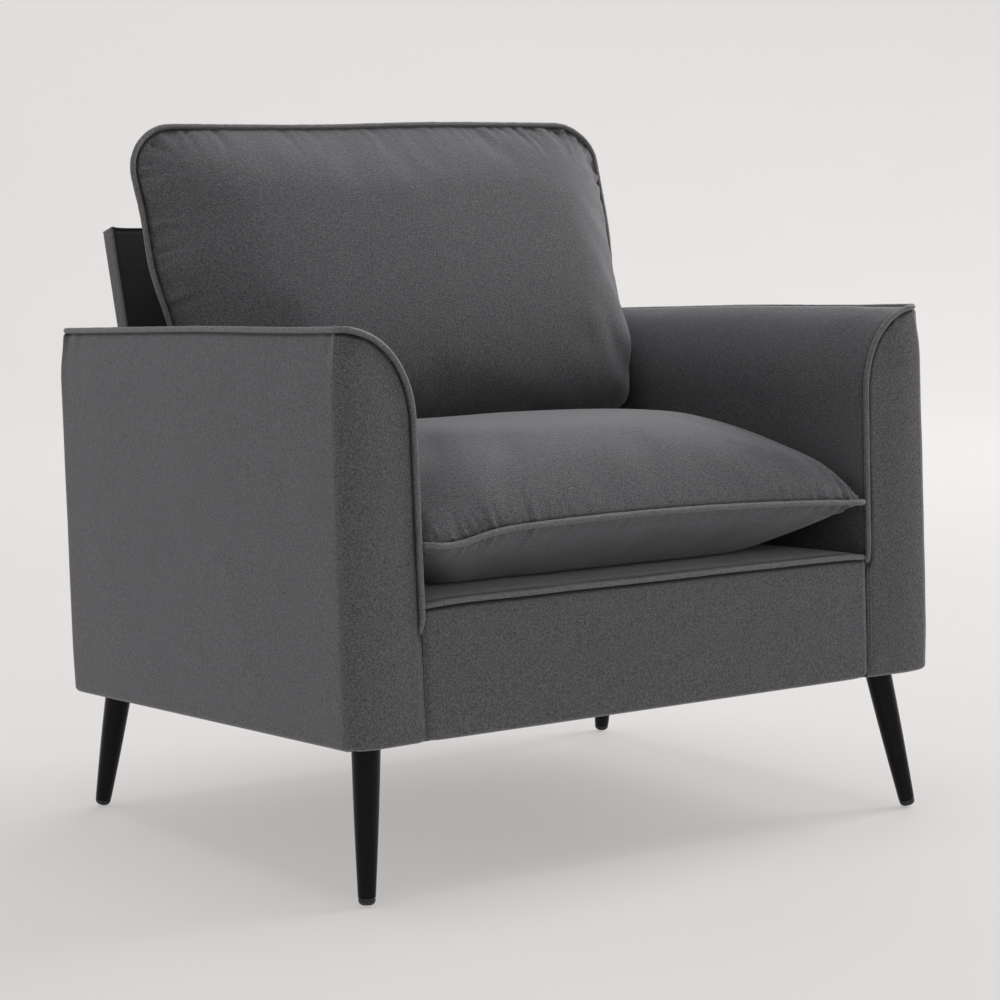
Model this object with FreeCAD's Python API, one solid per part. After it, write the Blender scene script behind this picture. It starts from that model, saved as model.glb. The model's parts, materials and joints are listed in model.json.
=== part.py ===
import FreeCAD, Part
import math
import os

# Upholstered armchair on four splayed legs, with a loose seat cushion and a loose
# back cushion. All lengths are in millimetres and all angles in degrees.
#
# The pieces are modelled in the frame of the upholstered body: x runs across the
# chair, y runs back from the front plane, z runs up from the underside. Left is the
# -x side. The rear legs are shorter than the front ones, so the whole body is then
# tilted back and lifted onto its legs. The finished origin is the middle of the
# chair's footprint, on the floor.

Vector = FreeCAD.Vector
X_AXIS = Vector(1, 0, 0)
Z_AXIS = Vector(0, 0, 1)
ORIGIN = Vector(0, 0, 0)

# Whole chair
WIDTH = 800.0
BODY_TILT = 2.2246
FRONT_LIFT = 164.8

# Sheet thicknesses and trim
FABRIC = 1.5
WELT_RADIUS = 3.5
WELT_SUNK = 2.5

# Cutters and construction shapes run past the pieces they cut by these amounts
CLEAR = 12.0
FAR = 900.0
WADDING = 4.0
HARDBOARD = 3.0
PLYWOOD = 15.0

# Arms
ARM_WIDTH = 90.0
ARM_HEIGHT = 427.0
ARM_DEPTH = 627.0
CROWN_HEIGHT = 102.0
FOLD_RADIUS = 11.0
ARM_FOAM = 12.0
FIRM_FACE = FABRIC + WADDING
PANEL_GAP = FIRM_FACE + HARDBOARD
BOARD_CROWN = FABRIC + ARM_FOAM + HARDBOARD
SHOULDER = ARM_HEIGHT - CROWN_HEIGHT
WELT_START = 130.0
REAR_WELT_END = 250.0
ARM_RAIL_INNER = (53.0, 73.0)
ARM_RAILS = [
    ((PANEL_GAP, 26.0), (350.0, 395.0)),
    ((PANEL_GAP, 26.0), (45.0, 110.0)),
    (ARM_RAIL_INNER, (45.0, 110.0)),
    (ARM_RAIL_INNER, (160.0, 220.0)),
]
LEG_BLOCK_LENGTH = 80.0
LEG_BLOCK_HEIGHT = 40.0

# Seat base
HALF = WIDTH / 2 - ARM_WIDTH - 1.1
INNER_HALF = HALF - FABRIC
RAIL_FACE = INNER_HALF - 20.0
FRONT_PAD = 10.0
FRONT_RAIL_BACK = FABRIC + FRONT_PAD + 22.0
RAIL_TOP = 127.0
RAIL_FOOT = 12.0
REAR_RAIL = (500.0, 520.0)
CORNER_BLOCK_SIDE = 45.0
CORNER_BLOCK_FOOT = 40.0
CORNER_BLOCK_HEIGHT = 60.0
SPRING_WIRE = 1.8
SPRING_BEND = 12.0
SPRING_BAR = 28.0
SPRING_COUNT = 5
SPRING_PITCH = 105.0
SPRING_LEVEL = 130.3
SPRING_ENDS = (FABRIC + FRONT_PAD + 12.0, REAR_RAIL[1] - 8.0)
CLIP_WALL = 1.2
CLIP_BORE = SPRING_WIRE + 0.1
CLIP_WIDTH = 20.0
CLIP_TONGUE = 9.0
LINER_LEVEL = 133.5
PAD_LEVEL = 134.7
DECK_COVER_LEVEL = 144.3
DECK_LEVEL = DECK_COVER_LEVEL + FABRIC
DECK_REAR = 551.0
LINER_HALF = 300.0
DUST_COVER = 0.8
DUST_COVER_MARGIN = 8.0
LEG_HOLE_EASE = 1.5

# Back panel
RAKE = 13.8
BACK_FOOT = Vector(0, 558.0, 150.0)
BACK_THICKNESS = 25.0
BACK_RISE = 412.0
BACK_REAR = 625.0
BACK_PAD = 3.5
STRAP_THICKNESS = 1.5
STRAP_WIDTH = 50.0
STRAP_HALF = INNER_HALF - 2.0
STRAP_LEVELS = (110.0, 200.0, 290.0)
FRAME_FRONT = FABRIC + BACK_PAD + STRAP_THICKNESS
TOP_RAIL_FOOT = 345.0
MIDDLE_RAIL = (165.0, 215.0)
BOTTOM_RAIL = (5.0, 85.0)

# Legs: splayed, tapered, with the foot centres given on the floor
LEG_TOP_RADIUS = 15.5
LEG_TIP_RADIUS = 9.2
GLIDE_LENGTH = 9.0
GLIDE_TIP_RADIUS = 7.2
FRONT_LEG_TOP = (358.3, 40.1)
FRONT_FOOT = (379.9, 8.9)
REAR_LEG_TOP = (366.1, 578.7)
REAR_FOOT = (377.9, 606.3)
STUD_RADIUS = 4.0
STUD_IN_LEG = 30.0
STUD_IN_BLOCK = 38.0
COUNTERBORE_DEPTH = 5.0

# Bolts that hold the base and the back between the arms: (y, z) on each side
BOLT_PLACES = [(90.0, 75.0), (430.0, 75.0), (575.0, 75.0), (592.0, 190.0)]
BOLT_RADIUS = 4.0
BOLT_HOLE = 4.25
THREAD_EASE = 0.05
NUT_FLANGE = 1.5
NUT_FLANGE_RADIUS = 10.0
NUT_BARREL = 9.0
NUT_BARREL_RADIUS = 5.0
NUT_HOLE = NUT_BARREL_RADIUS + 0.1
WASHER_RADIUS = 9.0
WASHER_THICKNESS = 1.6
BOLT_HEAD = 5.0
BOLT_HEAD_RADIUS = 7.0

# Seat cushion: (z, half width, front y, rear y) from its base to its crown
SEAT_SECTIONS = [
    (146.5, 284.0, 40.0, 520.0),
    (178.0, 298.0, 8.0, 540.0),
    (210.0, 302.5, -6.0, 546.0),
    (243.0, 290.0, 0.0, 530.0),
    (268.0, 255.0, 9.0, 506.0),
    (292.0, 195.0, 22.0, 440.0),
    (310.0, 120.0, 45.0, 370.0),
    (321.0, 50.0, 100.0, 270.0),
]
SEAT_WELT_SECTION = 2
SEAT_WELT_LEVEL = SEAT_SECTIONS[SEAT_WELT_SECTION][0]
SEAT_CORNER = 30.0

# Back cushion, along the raked panel: (s up the panel, half width, bulge forward of
# the seam, bulge behind the seam). The seam lies SEAM_OFFSET in front of the panel.
SEAM_OFFSET = 135.0
BACK_SECTIONS = [
    (130.0, 284.0, 24.0, 66.0),
    (165.0, 299.0, 74.0, 120.0),
    (240.0, 300.0, 96.0, 134.0),
    (272.0, 330.0, 96.0, 134.0),
    (400.0, 338.0, 72.0, 128.0),
    (460.0, 330.0, 40.0, 86.0),
    (490.0, 300.0, 18.0, 44.0),
    (503.0, 268.0, 6.0, 10.0),
]
BACK_WELT_POINTS = [
    (-284.0, 132.0),
    (-300.0, 165.0),
    (-300.0, 238.0),
    (-334.0, 280.0),
    (-341.0, 503.0),
    (341.0, 503.0),
    (334.0, 280.0),
    (300.0, 238.0),
    (300.0, 165.0),
    (284.0, 132.0),
]
BACK_WELT_RADII = [14.0, 60.0, 40.0, 40.0, 62.0, 62.0, 40.0, 40.0, 60.0, 14.0]

# Zips
ZIP_LENGTH = 440.0
ZIP_TAPE = 24.0
ZIP_TAPE_THICKNESS = 1.2
ZIP_COIL = 3.0
SLIDER_LENGTH = 14.0
SLIDER_RADIUS = 1.8
ZIP_BELOW_WELT = 22.0

nodes = {}


# ---------------------------------------------------------------- shape helpers
def box(x_range, y_range, z_range):
    low = Vector(x_range[0], y_range[0], z_range[0])
    size = Vector(x_range[1], y_range[1], z_range[1]).sub(low)
    return Part.makeBox(size.x, size.y, size.z, low)


def mirrored(shape):
    return shape.mirror(ORIGIN, X_AXIS)


def both_sides(shapes):
    return shapes + [mirrored(shape) for shape in shapes]


def rod(start, end, radius):
    run = end.sub(start)
    return Part.makeCylinder(radius, run.Length, start, run)


def rounded_path(points, radii, closed=False):
    """Straight runs joined by tangent arcs, one radius for each point."""
    count = len(points)
    entries = []
    exits = []
    middles = []
    for index, point in enumerate(points):
        end_of_open_path = not closed and index in (0, count - 1)
        if end_of_open_path:
            entries.append(point)
            exits.append(point)
            middles.append(None)
            continue
        back = points[index - 1].sub(point).normalize()
        ahead = points[(index + 1) % count].sub(point).normalize()
        half_angle = back.getAngle(ahead) / 2
        reach = radii[index] / math.tan(half_angle)
        middle_reach = radii[index] / math.sin(half_angle) - radii[index]
        entries.append(point.add(back * reach))
        exits.append(point.add(ahead * reach))
        middles.append(point.add(back.add(ahead).normalize() * middle_reach))
    edges = []
    for index in range(count):
        if middles[index] is not None:
            arc = Part.Arc(entries[index], middles[index], exits[index])
            edges.append(arc.toShape())
        if closed or index < count - 1:
            target = entries[(index + 1) % count]
            edges.append(Part.LineSegment(exits[index], target).toShape())
    return Part.Wire(edges)


def tube(path, radius):
    """A round cord swept along a smooth path."""
    start_edge = path.Edges[0]
    start = start_edge.valueAt(start_edge.FirstParameter)
    heading = start_edge.tangentAt(start_edge.FirstParameter)
    ring = Part.Wire(Part.makeCircle(radius, start, heading))
    return path.makePipeShell([ring], True, False)


def prism(points, direction):
    return Part.Face(Part.makePolygon(points + [points[0]])).extrude(direction)


# ---------------------------------------------------------------- arms
# Arm pieces are drawn with u, the distance inwards from the outer face, along x.
def crown_arc(y, outer, crown):
    """Quarter ellipse from the flat top of the arm down to its shoulder."""
    centre = Vector(FOLD_RADIUS, y, SHOULDER)
    top = Vector(FOLD_RADIUS, y, ARM_HEIGHT - crown)
    side = Vector(ARM_WIDTH - crown, y, SHOULDER)
    return Part.Arc(Part.Ellipse(top, side, centre), 0, math.pi / 2)


def arm_section_prism(outer, crown, y_start, y_end):
    """Arm outline, set in from its outer face and from its crowned side."""
    corner = Vector(outer, y_start, 0)
    top = Vector(outer, y_start, ARM_HEIGHT - crown)
    crown_start = Vector(FOLD_RADIUS, y_start, ARM_HEIGHT - crown)
    shoulder = Vector(ARM_WIDTH - crown, y_start, SHOULDER)
    foot = Vector(ARM_WIDTH - crown, y_start, 0)
    outline = Part.Wire([
        Part.LineSegment(corner, top).toShape(),
        Part.LineSegment(top, crown_start).toShape(),
        crown_arc(y_start, outer, crown).toShape(),
        Part.LineSegment(shoulder, foot).toShape(),
        Part.LineSegment(foot, corner).toShape(),
    ])
    return Part.Face(outline).extrude(Vector(0, y_end - y_start, 0))


def arm_block(outer, crown, end):
    """Arm outline with the vertical folds of its outer corners rounded."""
    section = arm_section_prism(outer, crown, end, ARM_DEPTH - end)
    wide = ARM_WIDTH + CLEAR
    fold = FOLD_RADIUS - outer
    plan = rounded_path(
        [
            Vector(outer, end, -CLEAR),
            Vector(wide, end, -CLEAR),
            Vector(wide, ARM_DEPTH - end, -CLEAR),
            Vector(outer, ARM_DEPTH - end, -CLEAR),
        ],
        [fold, 1.0, 1.0, fold],
        closed=True,
    )
    return section.common(Part.Face(plan).extrude(Vector(0, 0, ARM_HEIGHT + 2 * CLEAR)))


def arm_welt():
    """Cord round the front curve, along the outer top edge and down the rear curve."""
    sunk = WELT_SUNK
    front = sunk
    rear = ARM_DEPTH - sunk
    level = ARM_HEIGHT - sunk
    side = ARM_WIDTH - sunk
    bend = FOLD_RADIUS - sunk
    diagonal = bend * math.sqrt(0.5)
    front_curve = crown_arc(front, sunk, sunk).toShape()
    rear_curve = crown_arc(rear, sunk, sunk).toShape()
    front_corner = Part.Arc(
        Vector(FOLD_RADIUS, front, level),
        Vector(FOLD_RADIUS - diagonal, front + bend - diagonal, level),
        Vector(sunk, front + bend, level),
    )
    rear_corner = Part.Arc(
        Vector(sunk, rear - bend, level),
        Vector(FOLD_RADIUS - diagonal, rear - bend + diagonal, level),
        Vector(FOLD_RADIUS, rear, level),
    )
    path = Part.Wire([
        Part.LineSegment(Vector(side, front, WELT_START), Vector(side, front, SHOULDER)).toShape(),
        front_curve,
        front_corner.toShape(),
        Part.LineSegment(Vector(sunk, front + bend, level), Vector(sunk, rear - bend, level)).toShape(),
        rear_corner.toShape(),
        rear_curve,
        Part.LineSegment(Vector(side, rear, SHOULDER), Vector(side, rear, REAR_WELT_END)).toShape(),
    ])
    return tube(path, WELT_RADIUS)


def arm_pieces():
    """Every piece of one arm, with u along x."""
    core = arm_block(FABRIC, FABRIC, FABRIC)
    under_outer_cover = arm_block(FABRIC, 0, FABRIC)
    under_foam = arm_section_prism(-CLEAR, FABRIC + ARM_FOAM, -CLEAR, ARM_DEPTH + CLEAR)
    under_panel = arm_section_prism(-CLEAR, BOARD_CROWN, -CLEAR, ARM_DEPTH + CLEAR)
    wadding = arm_block(FABRIC, FABRIC + ARM_FOAM, FABRIC)
    board_stock = arm_block(PANEL_GAP, BOARD_CROWN, FIRM_FACE)
    front_board = (FIRM_FACE, FIRM_FACE + PLYWOOD)
    rear_board = (ARM_DEPTH - FIRM_FACE - PLYWOOD, ARM_DEPTH - FIRM_FACE)
    between = (front_board[1], rear_board[0])
    board_width = (0, ARM_WIDTH)
    board_height = (0, ARM_HEIGHT)
    rails = [box(width, between, height) for width, height in ARM_RAILS]
    block_width = (PANEL_GAP, ARM_RAIL_INNER[1])
    block_height = (0, LEG_BLOCK_HEIGHT)
    leg_blocks = [
        box(block_width, (between[0], between[0] + LEG_BLOCK_LENGTH), block_height),
        box(block_width, (between[1] - LEG_BLOCK_LENGTH, between[1]), block_height),
    ]
    outer_panel = box(
        (FIRM_FACE, PANEL_GAP),
        (FOLD_RADIUS, ARM_DEPTH - FOLD_RADIUS),
        (0, ARM_HEIGHT - BOARD_CROWN),
    )
    return {
        "profile_boards": Part.makeCompound([
            board_stock.common(box(board_width, front_board, board_height)),
            board_stock.common(box(board_width, rear_board, board_height)),
        ]),
        "rails": Part.makeCompound(rails),
        "leg_blocks": Part.makeCompound(leg_blocks),
        "outer_panel": outer_panel,
        "inner_panel": arm_block(PANEL_GAP, FABRIC + ARM_FOAM, FIRM_FACE).cut(under_panel),
        "wadding": wadding.cut(arm_block(FIRM_FACE, 0, FIRM_FACE)),
        "foam": core.cut(under_foam),
        "outer_cover": arm_block(0, 0, 0).cut(under_outer_cover),
        "inner_cover": under_outer_cover.cut(core),
        "welt": arm_welt(),
    }


def add_arms():
    for name, piece in arm_pieces().items():
        piece.translate(Vector(-WIDTH / 2, 0, 0))
        nodes["left_arm_" + name] = piece
        nodes["right_arm_" + name] = mirrored(piece)


# ---------------------------------------------------------------- seat base
def base_frame():
    front_rail = box((-INNER_HALF, INNER_HALF), (FABRIC + FRONT_PAD, FRONT_RAIL_BACK), (0, RAIL_TOP))
    side_rail = box((RAIL_FACE, INNER_HALF), (FRONT_RAIL_BACK, REAR_RAIL[1]), (RAIL_FOOT, RAIL_TOP))
    rear_rail = box((-RAIL_FACE, RAIL_FACE), REAR_RAIL, (RAIL_FOOT, RAIL_TOP))
    blocks = []
    for rail_y, inward in ((FRONT_RAIL_BACK, 1), (REAR_RAIL[0], -1)):
        corner = Vector(RAIL_FACE, rail_y, CORNER_BLOCK_FOOT)
        along_side = corner.add(Vector(0, inward * CORNER_BLOCK_SIDE, 0))
        along_rail = corner.sub(Vector(CORNER_BLOCK_SIDE, 0, 0))
        blocks.append(prism([corner, along_side, along_rail], Z_AXIS * CORNER_BLOCK_HEIGHT))
    nodes["base_front_rail"] = front_rail
    nodes["base_side_rails"] = Part.makeCompound(both_sides([side_rail]))
    nodes["base_rear_rail"] = rear_rail
    nodes["corner_blocks"] = Part.makeCompound(both_sides(blocks))


def sinuous_spring(x, y_start, y_end):
    """Flat zigzag of wire from rail to rail, with round bends."""
    runs = int((y_end - y_start) / (2 * SPRING_BEND))
    half_bar = SPRING_BAR / 2
    edges = []
    y = y_start
    side = 1
    for _ in range(runs):
        bar_start = Vector(x - side * half_bar, y, SPRING_LEVEL)
        bar_end = Vector(x + side * half_bar, y, SPRING_LEVEL)
        crest = Vector(x + side * (half_bar + SPRING_BEND), y + SPRING_BEND, SPRING_LEVEL)
        next_start = Vector(x + side * half_bar, y + 2 * SPRING_BEND, SPRING_LEVEL)
        edges.append(Part.LineSegment(bar_start, bar_end).toShape())
        edges.append(Part.Arc(bar_end, crest, next_start).toShape())
        y += 2 * SPRING_BEND
        side = -side
    last_start = Vector(x - side * half_bar, y, SPRING_LEVEL)
    last_end = Vector(x + side * half_bar, y, SPRING_LEVEL)
    edges.append(Part.LineSegment(last_start, last_end).toShape())
    return tube(Part.Wire(edges), SPRING_WIRE), y


def spring_clip(x, y, inward):
    """Rolled steel clip that holds the end bar of a spring on a rail."""
    half_width = CLIP_WIDTH / 2
    start = Vector(x - half_width, y, SPRING_LEVEL)
    end = Vector(x + half_width, y, SPRING_LEVEL)
    roll = rod(start, end, CLIP_BORE + CLIP_WALL)
    tongue_end = y - inward * CLIP_TONGUE
    y_range = (min(y, tongue_end), max(y, tongue_end))
    tongue = box((x - half_width, x + half_width), y_range, (RAIL_TOP, RAIL_TOP + CLIP_WALL))
    return roll.fuse(tongue).cut(rod(start, end, CLIP_BORE)).removeSplitter()


def seat_suspension():
    first_bar, last_limit = SPRING_ENDS
    springs = []
    clips = []
    for index in range(SPRING_COUNT):
        x = (index - (SPRING_COUNT - 1) / 2) * SPRING_PITCH
        spring, last_bar = sinuous_spring(x, first_bar, last_limit)
        springs.append(spring)
        clips.append(spring_clip(x, first_bar, 1))
        clips.append(spring_clip(x, last_bar, -1))
    nodes["seat_springs"] = Part.makeCompound(springs)
    nodes["spring_clips"] = Part.makeCompound(clips)


def deck():
    nodes["deck_liner"] = box(
        (-LINER_HALF, LINER_HALF),
        (FABRIC + FRONT_PAD, REAR_RAIL[1]),
        (LINER_LEVEL, PAD_LEVEL),
    )
    nodes["deck_pad"] = box(
        (-INNER_HALF, INNER_HALF),
        (FABRIC, DECK_REAR - 2 * FABRIC),
        (PAD_LEVEL, DECK_COVER_LEVEL),
    )
    nodes["deck_cover"] = box((-HALF, HALF), (0, DECK_REAR), (DECK_COVER_LEVEL, DECK_LEVEL))
    nodes["front_rail_pad"] = box((-INNER_HALF, INNER_HALF), (FABRIC, FABRIC + FRONT_PAD), (0, PAD_LEVEL))
    nodes["front_border_cover"] = box((-HALF, HALF), (0, FABRIC), (0, DECK_COVER_LEVEL))
    welt_level = DECK_LEVEL - WELT_RADIUS
    welt_half = HALF - WELT_RADIUS
    welt_start = Vector(-welt_half, 1.0, welt_level)
    welt_end = Vector(welt_half, 1.0, welt_level)
    nodes["front_border_welt"] = rod(welt_start, welt_end, WELT_RADIUS)


def dust_cover():
    half_width = WIDTH / 2 - DUST_COVER_MARGIN
    sheet = box(
        (-half_width, half_width),
        (DUST_COVER_MARGIN, BACK_REAR - DUST_COVER_MARGIN),
        (-DUST_COVER, 0),
    )
    for x, y in (FRONT_LEG_TOP, REAR_LEG_TOP):
        for side in (-1, 1):
            low = Vector(side * x, y, -CLEAR)
            high = Vector(side * x, y, CLEAR)
            sheet = sheet.cut(rod(low, high, LEG_TOP_RADIUS + LEG_HOLE_EASE))
    nodes["dust_cover"] = sheet


# ---------------------------------------------------------------- back panel
def lean(shape):
    """Stands a piece drawn upright against the raked back panel."""
    shape.rotate(ORIGIN, X_AXIS, -RAKE)
    shape.translate(BACK_FOOT)
    return shape


def panel_point(forward, up):
    """Point in front of the panel's face and up along it, in the body's frame."""
    angle = math.radians(RAKE)
    y = BACK_FOOT.y + up * math.sin(angle) - forward * math.cos(angle)
    z = BACK_FOOT.z + up * math.cos(angle) + forward * math.sin(angle)
    return y, z


def back_prism(front, rear, top, half):
    """Back seen from the side: raked front, rear upright below and raked above."""
    slope = math.tan(math.radians(RAKE))
    foot_y, foot_z = panel_point(-front, 0)
    top_front_y, top_front_z = panel_point(-front, BACK_RISE - top)
    top_rear_y, top_rear_z = panel_point(rear - BACK_THICKNESS, BACK_RISE - top)
    upright = BACK_REAR - rear
    bend_z = top_rear_z - (top_rear_y - upright) / slope
    outline = [
        Vector(-half, foot_y - foot_z * slope, 0),
        Vector(-half, top_front_y, top_front_z),
        Vector(-half, top_rear_y, top_rear_z),
        Vector(-half, upright, bend_z),
        Vector(-half, upright, 0),
    ]
    return prism(outline, Vector(2 * half, 0, 0))


def back_layer(depth, thickness, half):
    """Sheet of the inside back, from just above the deck to the top edge."""
    sheet = back_prism(depth, FABRIC, FABRIC, half)
    sheet = sheet.cut(back_prism(depth + thickness, -FAR, -FAR, half + CLEAR))
    return sheet.common(box((-FAR, FAR), (0, FAR), (DECK_LEVEL + 1, FAR)))


def back_rail(up_range):
    """Cross rail between the stiles, set along the rake."""
    rail = box(
        (-RAIL_FACE, RAIL_FACE),
        (FRAME_FRONT, BACK_THICKNESS - FABRIC),
        up_range,
    )
    return lean(rail)


def add_back():
    stile = back_prism(FRAME_FRONT, FABRIC, FABRIC, INNER_HALF).common(
        box((RAIL_FACE, INNER_HALF), (0, FAR), (0, FAR))
    )
    straps = []
    for middle in STRAP_LEVELS:
        strap = box(
            (-STRAP_HALF, STRAP_HALF),
            (FABRIC + BACK_PAD, FRAME_FRONT),
            (middle - STRAP_WIDTH / 2, middle + STRAP_WIDTH / 2),
        )
        straps.append(lean(strap))
    hollow = back_prism(-FAR, FABRIC, FABRIC, INNER_HALF)
    nodes["back_stiles"] = Part.makeCompound(both_sides([stile]))
    nodes["back_top_rail"] = back_rail((TOP_RAIL_FOOT, BACK_RISE - FABRIC))
    nodes["back_middle_rail"] = back_rail(MIDDLE_RAIL)
    nodes["back_bottom_rail"] = box(
        (-RAIL_FACE, RAIL_FACE),
        (BACK_REAR - FABRIC - 20, BACK_REAR - FABRIC),
        BOTTOM_RAIL,
    )
    nodes["back_webbing"] = Part.makeCompound(straps)
    nodes["back_pad"] = back_layer(FABRIC, BACK_PAD, INNER_HALF)
    nodes["back_inner_cover"] = back_layer(0, FABRIC, INNER_HALF)
    nodes["back_outer_cover"] = back_prism(0, 0, 0, HALF).cut(hollow)


# ---------------------------------------------------------------- legs
def to_body(point):
    """A point given on the floor, in the body's frame."""
    lowered = point.sub(Vector(0, 0, FRONT_LIFT))
    return FreeCAD.Rotation(X_AXIS, BODY_TILT).multVec(lowered)


def floor_cutter():
    slab = box((-FAR, FAR), (-FAR, FAR), (-FAR - FRONT_LIFT, -FRONT_LIFT))
    slab.rotate(ORIGIN, X_AXIS, BODY_TILT)
    return slab


def leg_frame(top_place, foot_place):
    top = Vector(top_place[0], top_place[1], 0)
    foot = to_body(Vector(foot_place[0], foot_place[1], 0))
    return top, foot, top.sub(foot).normalize()


def tapered_leg(top, foot, axis):
    """Turned cone from the glide up to the underside, bored for its stud."""
    length = top.sub(foot).Length
    taper = (LEG_TOP_RADIUS - LEG_TIP_RADIUS) / length
    overrun = CLEAR
    start = foot.add(axis * GLIDE_LENGTH)
    leg = Part.makeCone(
        LEG_TIP_RADIUS + taper * GLIDE_LENGTH,
        LEG_TOP_RADIUS + taper * overrun,
        length + overrun - GLIDE_LENGTH,
        start,
        axis,
    )
    leg = leg.cut(box((-FAR, FAR), (-FAR, FAR), (0, FAR)))
    bore = rod(top.sub(axis * STUD_IN_LEG), top.add(axis * overrun), STUD_RADIUS + THREAD_EASE)
    return leg.cut(bore)


def leg_glide(foot, axis):
    """Plastic cap with a flat foot on the floor."""
    below = foot.sub(axis * CLEAR)
    cap = Part.makeCone(GLIDE_TIP_RADIUS, LEG_TIP_RADIUS, GLIDE_LENGTH + CLEAR, below, axis)
    return cap.cut(floor_cutter())


def tee_nut(face, outward, bore_radius):
    """Flange on a face, with a barrel that runs back into the wood."""
    flange = rod(face, face.add(outward * NUT_FLANGE), NUT_FLANGE_RADIUS)
    barrel = rod(face.sub(outward * NUT_BARREL), face, NUT_BARREL_RADIUS)
    bore = rod(face.sub(outward * CLEAR), face.add(outward * CLEAR), bore_radius + THREAD_EASE)
    return flange.fuse(barrel).cut(bore).removeSplitter()


def add_legs():
    glides = []
    studs = []
    nuts = []
    bores = []
    for row, top_place, foot_place in (
        ("front", FRONT_LEG_TOP, FRONT_FOOT),
        ("rear", REAR_LEG_TOP, REAR_FOOT),
    ):
        top, foot, axis = leg_frame(top_place, foot_place)
        leg = tapered_leg(top, foot, axis)
        nodes[row + "_right_leg"] = leg
        nodes[row + "_left_leg"] = mirrored(leg)
        glides.append(leg_glide(foot, axis))
        nut_face = top.add(axis * (LEG_BLOCK_HEIGHT - COUNTERBORE_DEPTH))
        studs.append(rod(top.sub(axis * (STUD_IN_LEG - 1)), top.add(axis * STUD_IN_BLOCK), STUD_RADIUS))
        nuts.append(tee_nut(nut_face, axis, STUD_RADIUS))
        bores.append(rod(top.sub(axis * CLEAR), nut_face, NUT_HOLE))
        bores.append(rod(nut_face, nut_face.add(axis * CLEAR), NUT_FLANGE_RADIUS + 0.5))
    nodes["leg_glides"] = Part.makeCompound(both_sides(glides))
    nodes["leg_studs"] = Part.makeCompound(both_sides(studs))
    for arm, cutters in (("right", bores), ("left", [mirrored(bore) for bore in bores])):
        blocks = nodes[arm + "_arm_leg_blocks"]
        for cutter in cutters:
            blocks = blocks.cut(cutter)
        nodes[arm + "_arm_leg_blocks"] = blocks
    return both_sides(nuts)


# ---------------------------------------------------------------- bolts
def add_bolts(leg_nuts):
    """Bolts through the side rails and stiles into tee nuts in the arm rails."""
    bolts = []
    washers = []
    nuts = []
    nut_face = WIDTH / 2 - ARM_RAIL_INNER[0]
    for y, z in BOLT_PLACES:
        washer_face = Vector(RAIL_FACE, y, z)
        head_face = Vector(RAIL_FACE - WASHER_THICKNESS, y, z)
        head_end = Vector(RAIL_FACE - WASHER_THICKNESS - BOLT_HEAD, y, z)
        shank = rod(head_face, Vector(nut_face - 1, y, z), BOLT_RADIUS)
        washer = rod(head_face, washer_face, WASHER_RADIUS)
        washer = washer.cut(rod(head_end, washer_face.add(X_AXIS), BOLT_HOLE))
        bolts.append(shank.fuse(rod(head_end, head_face, BOLT_HEAD_RADIUS)).removeSplitter())
        washers.append(washer)
        nuts.append(tee_nut(Vector(nut_face, y, z), X_AXIS, BOLT_RADIUS))
    nodes["frame_bolts"] = Part.makeCompound(both_sides(bolts))
    nodes["frame_washers"] = Part.makeCompound(both_sides(washers))
    nodes["tee_nuts"] = Part.makeCompound(both_sides(nuts) + leg_nuts)


def drill_bolt_holes():
    rail_start = WIDTH / 2 - ARM_RAIL_INNER[1]
    for y, z in BOLT_PLACES:
        for side, arm in ((-1, "left"), (1, "right")):
            def at(x):
                return Vector(side * x, y, z)

            clearance = rod(at(RAIL_FACE - 1), at(rail_start), BOLT_HOLE)
            nut_bore = rod(at(rail_start - 0.1), at(rail_start + 25), NUT_HOLE)
            for name in ("inner_cover", "foam", "inner_panel"):
                node = arm + "_arm_" + name
                nodes[node] = nodes[node].cut(clearance)
            nodes[arm + "_arm_rails"] = nodes[arm + "_arm_rails"].cut(nut_bore)
            for node in ("base_side_rails", "back_stiles", "back_outer_cover"):
                nodes[node] = nodes[node].cut(clearance)


# ---------------------------------------------------------------- cushions
def seat_cushion_solid(inset):
    """Crowned seat cushion, as rounded rectangles lofted from base to crown."""
    wires = []
    last = len(SEAT_SECTIONS) - 1
    for index, (z, half, front, rear) in enumerate(SEAT_SECTIONS):
        level = z + inset if index == 0 else z - inset if index == last else z
        half -= inset
        corners = [
            Vector(-half, front + inset, level),
            Vector(half, front + inset, level),
            Vector(half, rear - inset, level),
            Vector(-half, rear - inset, level),
        ]
        wires.append(rounded_path(corners, [SEAT_CORNER] * 4, closed=True))
    return Part.makeLoft(wires, True, True)


def seat_cushion_welt():
    _, half, front, rear = SEAT_SECTIONS[SEAT_WELT_SECTION]
    corners = [
        Vector(0, front, SEAT_WELT_LEVEL),
        Vector(half, front, SEAT_WELT_LEVEL),
        Vector(half, rear, SEAT_WELT_LEVEL),
        Vector(-half, rear, SEAT_WELT_LEVEL),
        Vector(-half, front, SEAT_WELT_LEVEL),
        Vector(0, front, SEAT_WELT_LEVEL),
    ]
    return tube(rounded_path(corners, [SEAT_CORNER] * 6), WELT_RADIUS)


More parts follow.
